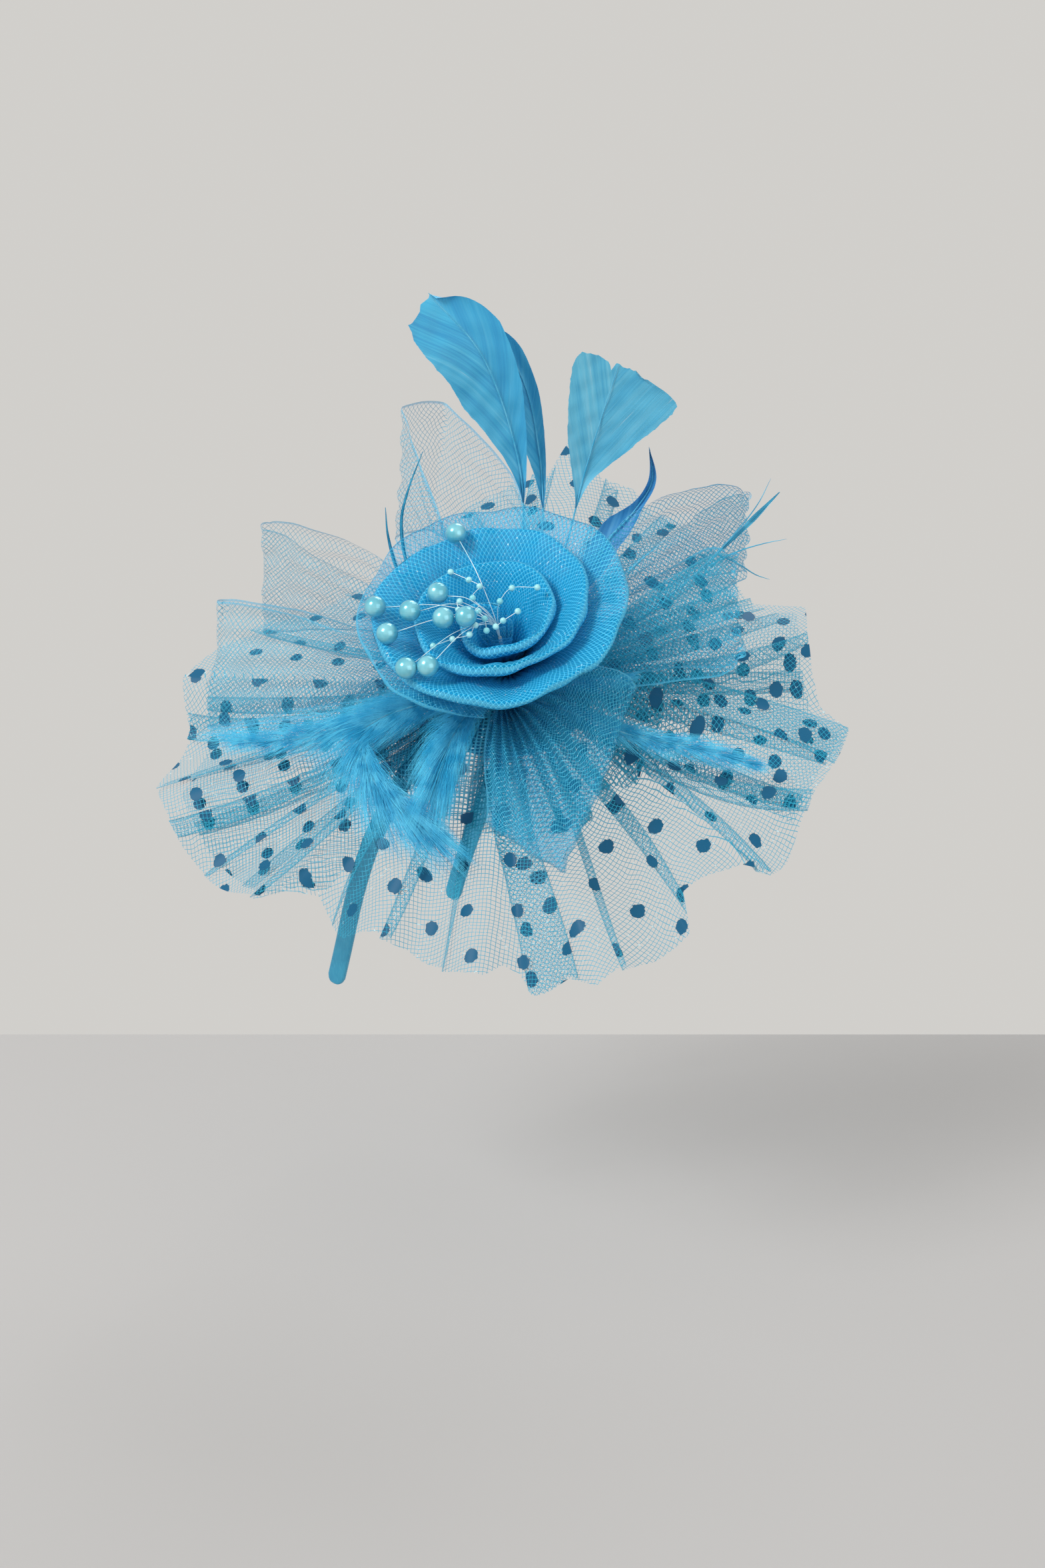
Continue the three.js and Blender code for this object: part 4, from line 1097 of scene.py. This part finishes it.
def drilled_bead(name, radius, segments, rings, material):
    """A ball of this radius in metres at the origin, with a drilled hole on its +Z side."""
    bpy.ops.object.select_all(action="DESELECT")
    bpy.ops.mesh.primitive_uv_sphere_add(segments=segments, ring_count=rings, radius=radius)
    ball = bpy.context.object
    ball.name = name
    bpy.ops.object.mode_set(mode="EDIT")
    bpy.ops.mesh.select_all(action="DESELECT")
    bpy.ops.object.mode_set(mode="OBJECT")
    top = max(v.co.z for v in ball.data.vertices)
    for v in ball.data.vertices:
        v.select = v.co.z > top - 1e-7
    bpy.ops.object.mode_set(mode="EDIT")
    bpy.ops.mesh.select_mode(type="VERT")
    bpy.ops.transform.translate(value=(0, 0, -radius * 0.35))
    bpy.ops.object.mode_set(mode="OBJECT")
    ball.data.materials.append(material)
    return ball


pattern = drilled_bead("pearl_pattern", PEARL_RADIUS * MM, 40, 24, pearl_coat)
pearl_pieces = []
for number, (u, v, n) in enumerate(PEARLS, 1):
    centre = Vector((u, v, n))
    to_wire = (FLOWER_TURN @ (Vector((0.1 * u, 0.1 * v, 49)) - centre)).normalized()
    piece = bpy.data.objects.new(f"pearl_{number}_bead", pattern.data.copy())
    bpy.context.collection.objects.link(piece)
    turned = Vector((0, 0, 1)).rotation_difference(to_wire).to_matrix().to_4x4()
    place = Matrix.Translation(to_part([(u, v, n)])[0]) @ turned
    piece.data.transform(place)
    finish_piece(piece)
    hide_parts(f"pearl_{number}")
    pearl_pieces.append(piece)
bpy.data.objects.remove(pattern)
print(len(pearl_pieces), "pearls of", 2 * PEARL_RADIUS, "mm")

# %% [markdown]
# ## The spray of threads
# Springy clear threads rise from the heart of the rose, arch over and carry the pearls, and finer
# ones are strung with small beads. Each thread is a thin tube along a smooth line, because it bends
# in one sweep with no kinks.

# %% Spray
STRINGS = [
    [(-6, -4), (-2.6, -8), (-0.5, -14.7)], [(3.1, -12.2), (5.7, -8.6), (11.2, -2.8)],
    [(2.3, 2.4), (6.2, 10.5), (17.3, 11.5)], [(-10.1, 3.5), (-8.3, 10.5), (-13.8, 14), (-22.8, 18.2)],
    [(-5.9, -12), (-7.5, -17.4), (-14.5, -20.5), (-22.1, -24.9)], [(-15.5, 1.2), (-15.1, -3.7)],
]


def bead_grid(centre, radius, sides=12, rings=8):
    turn = np.linspace(0, 2 * np.pi, sides + 1)[:, None]
    tip = np.linspace(0.02, np.pi - 0.02, rings + 1)[None, :]
    ball = np.stack([np.sin(tip) * np.cos(turn), np.sin(tip) * np.sin(turn), np.cos(tip) + 0 * turn], -1)
    return np.asarray(centre) + ball * radius


parts = []
stalk = smooth_line([(0, 0, 3.1), (0.2, 0.1, 20), (0, 0, 34)], 20)
parts.append((tube_grid(stalk, np.full(20, 0.8), 8), None, clear_thread))
for u, v, n in PEARLS:
    away = Vector((u, v, n)) - Vector((0.1 * u, 0.1 * v, 49))
    face = Vector((u, v, n)) - away.normalized() * (PEARL_RADIUS - 1.2)
    line = smooth_line([(0, 0, 33), (0.08 * u, 0.08 * v, 46), (0.45 * u, 0.45 * v, n - 1.0), tuple(face)], 40)
    parts.append((tube_grid(line, np.full(40, 0.17), 6), None, clear_thread))
for beads in STRINGS:
    rising = [(0, 0, 33), (0.25 * beads[0][0], 0.25 * beads[0][1], 47)]
    line = smooth_line(rising + [(u, v, 55) for u, v in beads], 40)
    parts.append((tube_grid(line, np.full(40, 0.14), 6), None, clear_thread))
    parts += [(bead_grid((u, v, 55), 1.45), None, bead_coat) for u, v in beads]
parts = [(to_part(grid), flat, material) for grid, flat, material in parts]
spray = gather_parts("pearl_spray_threads", parts)
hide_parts("pearl_spray")
print("spray has", len(spray.data.polygons), "faces")

# %% [markdown]
# ## The felt disc
# Under the frill a dished felt disc carries every stitch. It is cut from sheet, so it has a square
# edge that wear has softened. A filled circle is pushed up in rings to its dome and given thickness.

# %% Felt disc
DISC_RADIUS, DISC_THICK, DISC_DOME, DISC_SEAT = 38.0, 1.9, 140.0, 0.9


def sag(radius):
    return DISC_DOME - math.sqrt(DISC_DOME**2 - radius**2)


bpy.ops.object.select_all(action="DESELECT")
bpy.ops.mesh.primitive_circle_add(vertices=96, radius=DISC_RADIUS * MM, fill_type="NOTHING",
                                  location=(0, 0, (DISC_SEAT - sag(DISC_RADIUS)) * MM))
disc = bpy.context.object
disc.name = "felt_disc"
bpy.ops.object.transform_apply(location=True, rotation=True, scale=True)
bpy.ops.object.mode_set(mode="EDIT")
bpy.ops.mesh.select_all(action="SELECT")
RINGS = 12
for ring in range(1, RINGS + 1):
    before = DISC_RADIUS * (RINGS + 1 - ring) / RINGS
    after = max(DISC_RADIUS * (RINGS - ring) / RINGS, 0.05)
    climb = (0, 0, (sag(before) - sag(after)) * MM)
    bpy.ops.mesh.extrude_region_move(TRANSFORM_OT_translate={"value": climb})
    bpy.ops.transform.resize(value=(after / before, after / before, 1))
bpy.ops.mesh.merge(type="CENTER")
bpy.ops.mesh.select_all(action="SELECT")
bpy.ops.mesh.normals_make_consistent(inside=False)
bpy.ops.object.mode_set(mode="OBJECT")
thick = disc.modifiers.new("thickness", "SOLIDIFY")
thick.thickness, thick.offset = DISC_THICK * MM, 1.0
soften = disc.modifiers.new("soft_edge", "BEVEL")
soften.width, soften.segments = 0.5 * MM, 3
soften.limit_method, soften.angle_limit = "ANGLE", math.radians(50)
for modifier in ("thickness", "soft_edge"):
    bpy.ops.object.modifier_apply(modifier=modifier)
disc.data.transform(Matrix.Translation(FLOWER_AT * MM) @ FLOWER_TURN.to_4x4())
disc.data.materials.append(wool_felt)
finish_piece(disc)
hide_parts("base_disc")
print("felt disc spans", [round(x, 4) for x in disc.dimensions])

# %% [markdown]
# ## The headband
# The band is a springy strip, 9 mm wide, wrapped in satin. Its outer face is slightly crowned and its
# tips are rounded. A thin box is cut into many short lengths, its edges are rounded, and it is then
# laid along the arch.

# %% Headband
BAND_WIDE, BAND_THICK = 9.0, 2.6
HALF_WIDTH, CROWN_HEIGHT, LEG_CURVE, LEG_BOW = 68, 82, 150, 10
TIP_FLARE, FLARE_START, LEAN_BACK = 5, 34, 25


def band_line():
    """The arch and its two legs as points of the flat arch, before it leans back, in millimetres."""
    points = []
    for i in range(12, 0, -1):
        down = CROWN_HEIGHT * i / 12
        near_tip = max(0.0, 1 - (CROWN_HEIGHT - down) / FLARE_START)
        inwards = HALF_WIDTH * (1 - math.sqrt(1 - (down / LEG_CURVE) ** 2))
        y = HALF_WIDTH - inwards + TIP_FLARE * near_tip**2
        forward = LEG_BOW * (down / CROWN_HEIGHT) ** 1.4
        points.append((forward, -y, BAND_THICK / 2 - CROWN_HEIGHT - down))
    for i in range(25):
        t = math.pi * i / 24
        high = BAND_THICK / 2 - CROWN_HEIGHT + CROWN_HEIGHT * math.sin(t)
        points.append((0.0, -HALF_WIDTH * math.cos(t), high))
    points += [(x, -y, z) for x, y, z in reversed(points[:12])]
    return quill_line(points, 400)


line, band_length = band_line()
tangent = normalised(np.gradient(line, axis=0))
side = normalised(np.array([1.0, 0, 0]) - tangent * tangent[:, :1])
outward = normalised(np.cross(side, tangent))
if outward[200, 2] < 0:
    outward = -outward

bpy.ops.object.select_all(action="DESELECT")
bpy.ops.mesh.primitive_cube_add(size=1)
band = bpy.context.object
band.name = "satin_band"
band.scale = (band_length * MM, BAND_WIDE * MM, BAND_THICK * MM)
bpy.ops.object.transform_apply(location=True, rotation=True, scale=True)
round_edges = band.modifiers.new("round_edges", "BEVEL")
round_edges.width, round_edges.segments = 1.1 * MM, 4
bpy.ops.object.modifier_apply(modifier="round_edges")
bpy.ops.object.mode_set(mode="EDIT")
for cut in range(1, 200):
    bpy.ops.mesh.select_all(action="SELECT")
    bpy.ops.mesh.bisect(plane_co=((cut / 200 - 0.5) * band_length * MM, 0, 0), plane_no=(1, 0, 0))
for cut in (-3, -2, -1, 0, 1, 2, 3):
    bpy.ops.mesh.select_all(action="SELECT")
    bpy.ops.mesh.bisect(plane_co=(0, cut * MM, 0), plane_no=(0, 1, 0))
bpy.ops.object.mode_set(mode="OBJECT")
flat_band = np.array([v.co for v in band.data.vertices]) / MM
place = flat_band[:, 0] + band_length / 2
near_end = np.clip(np.minimum(place, band_length - place), 0, 4.5)
narrow = np.sqrt(1 - (1 - near_end / 4.5) ** 2 * 0.96)
crown = 0.35 * np.clip(1 - (flat_band[:, 1] / (BAND_WIDE / 2)) ** 2, 0, 1) * (flat_band[:, 2] > 0)
station = place / band_length * 399
at = np.clip(station.astype(int), 0, 398)
part_way = (station - at)[:, None]


def between(values):
    return values[at] * (1 - part_way) + values[at + 1] * part_way


curved = (between(line) + between(side) * (flat_band[:, 1] * narrow)[:, None]
          + between(outward) * (flat_band[:, 2] + crown - 0.15)[:, None])
lean = np.array(Matrix.Rotation(math.radians(LEAN_BACK), 3, "Y"))
band.data.vertices.foreach_set("co", (curved @ lean.T * MM).reshape(-1).astype(np.float32))
band.data.materials.append(satin)
bpy.ops.object.mode_set(mode="EDIT")
bpy.ops.mesh.select_all(action="SELECT")
bpy.ops.mesh.normals_make_consistent(inside=False)
bpy.ops.object.mode_set(mode="OBJECT")
bpy.ops.object.shade_smooth_by_angle(angle=math.radians(40))
finish_piece(band, smooth=False)
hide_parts("headband")
print("satin band", round(band_length, 1), "mm long,", len(band.data.polygons), "faces")
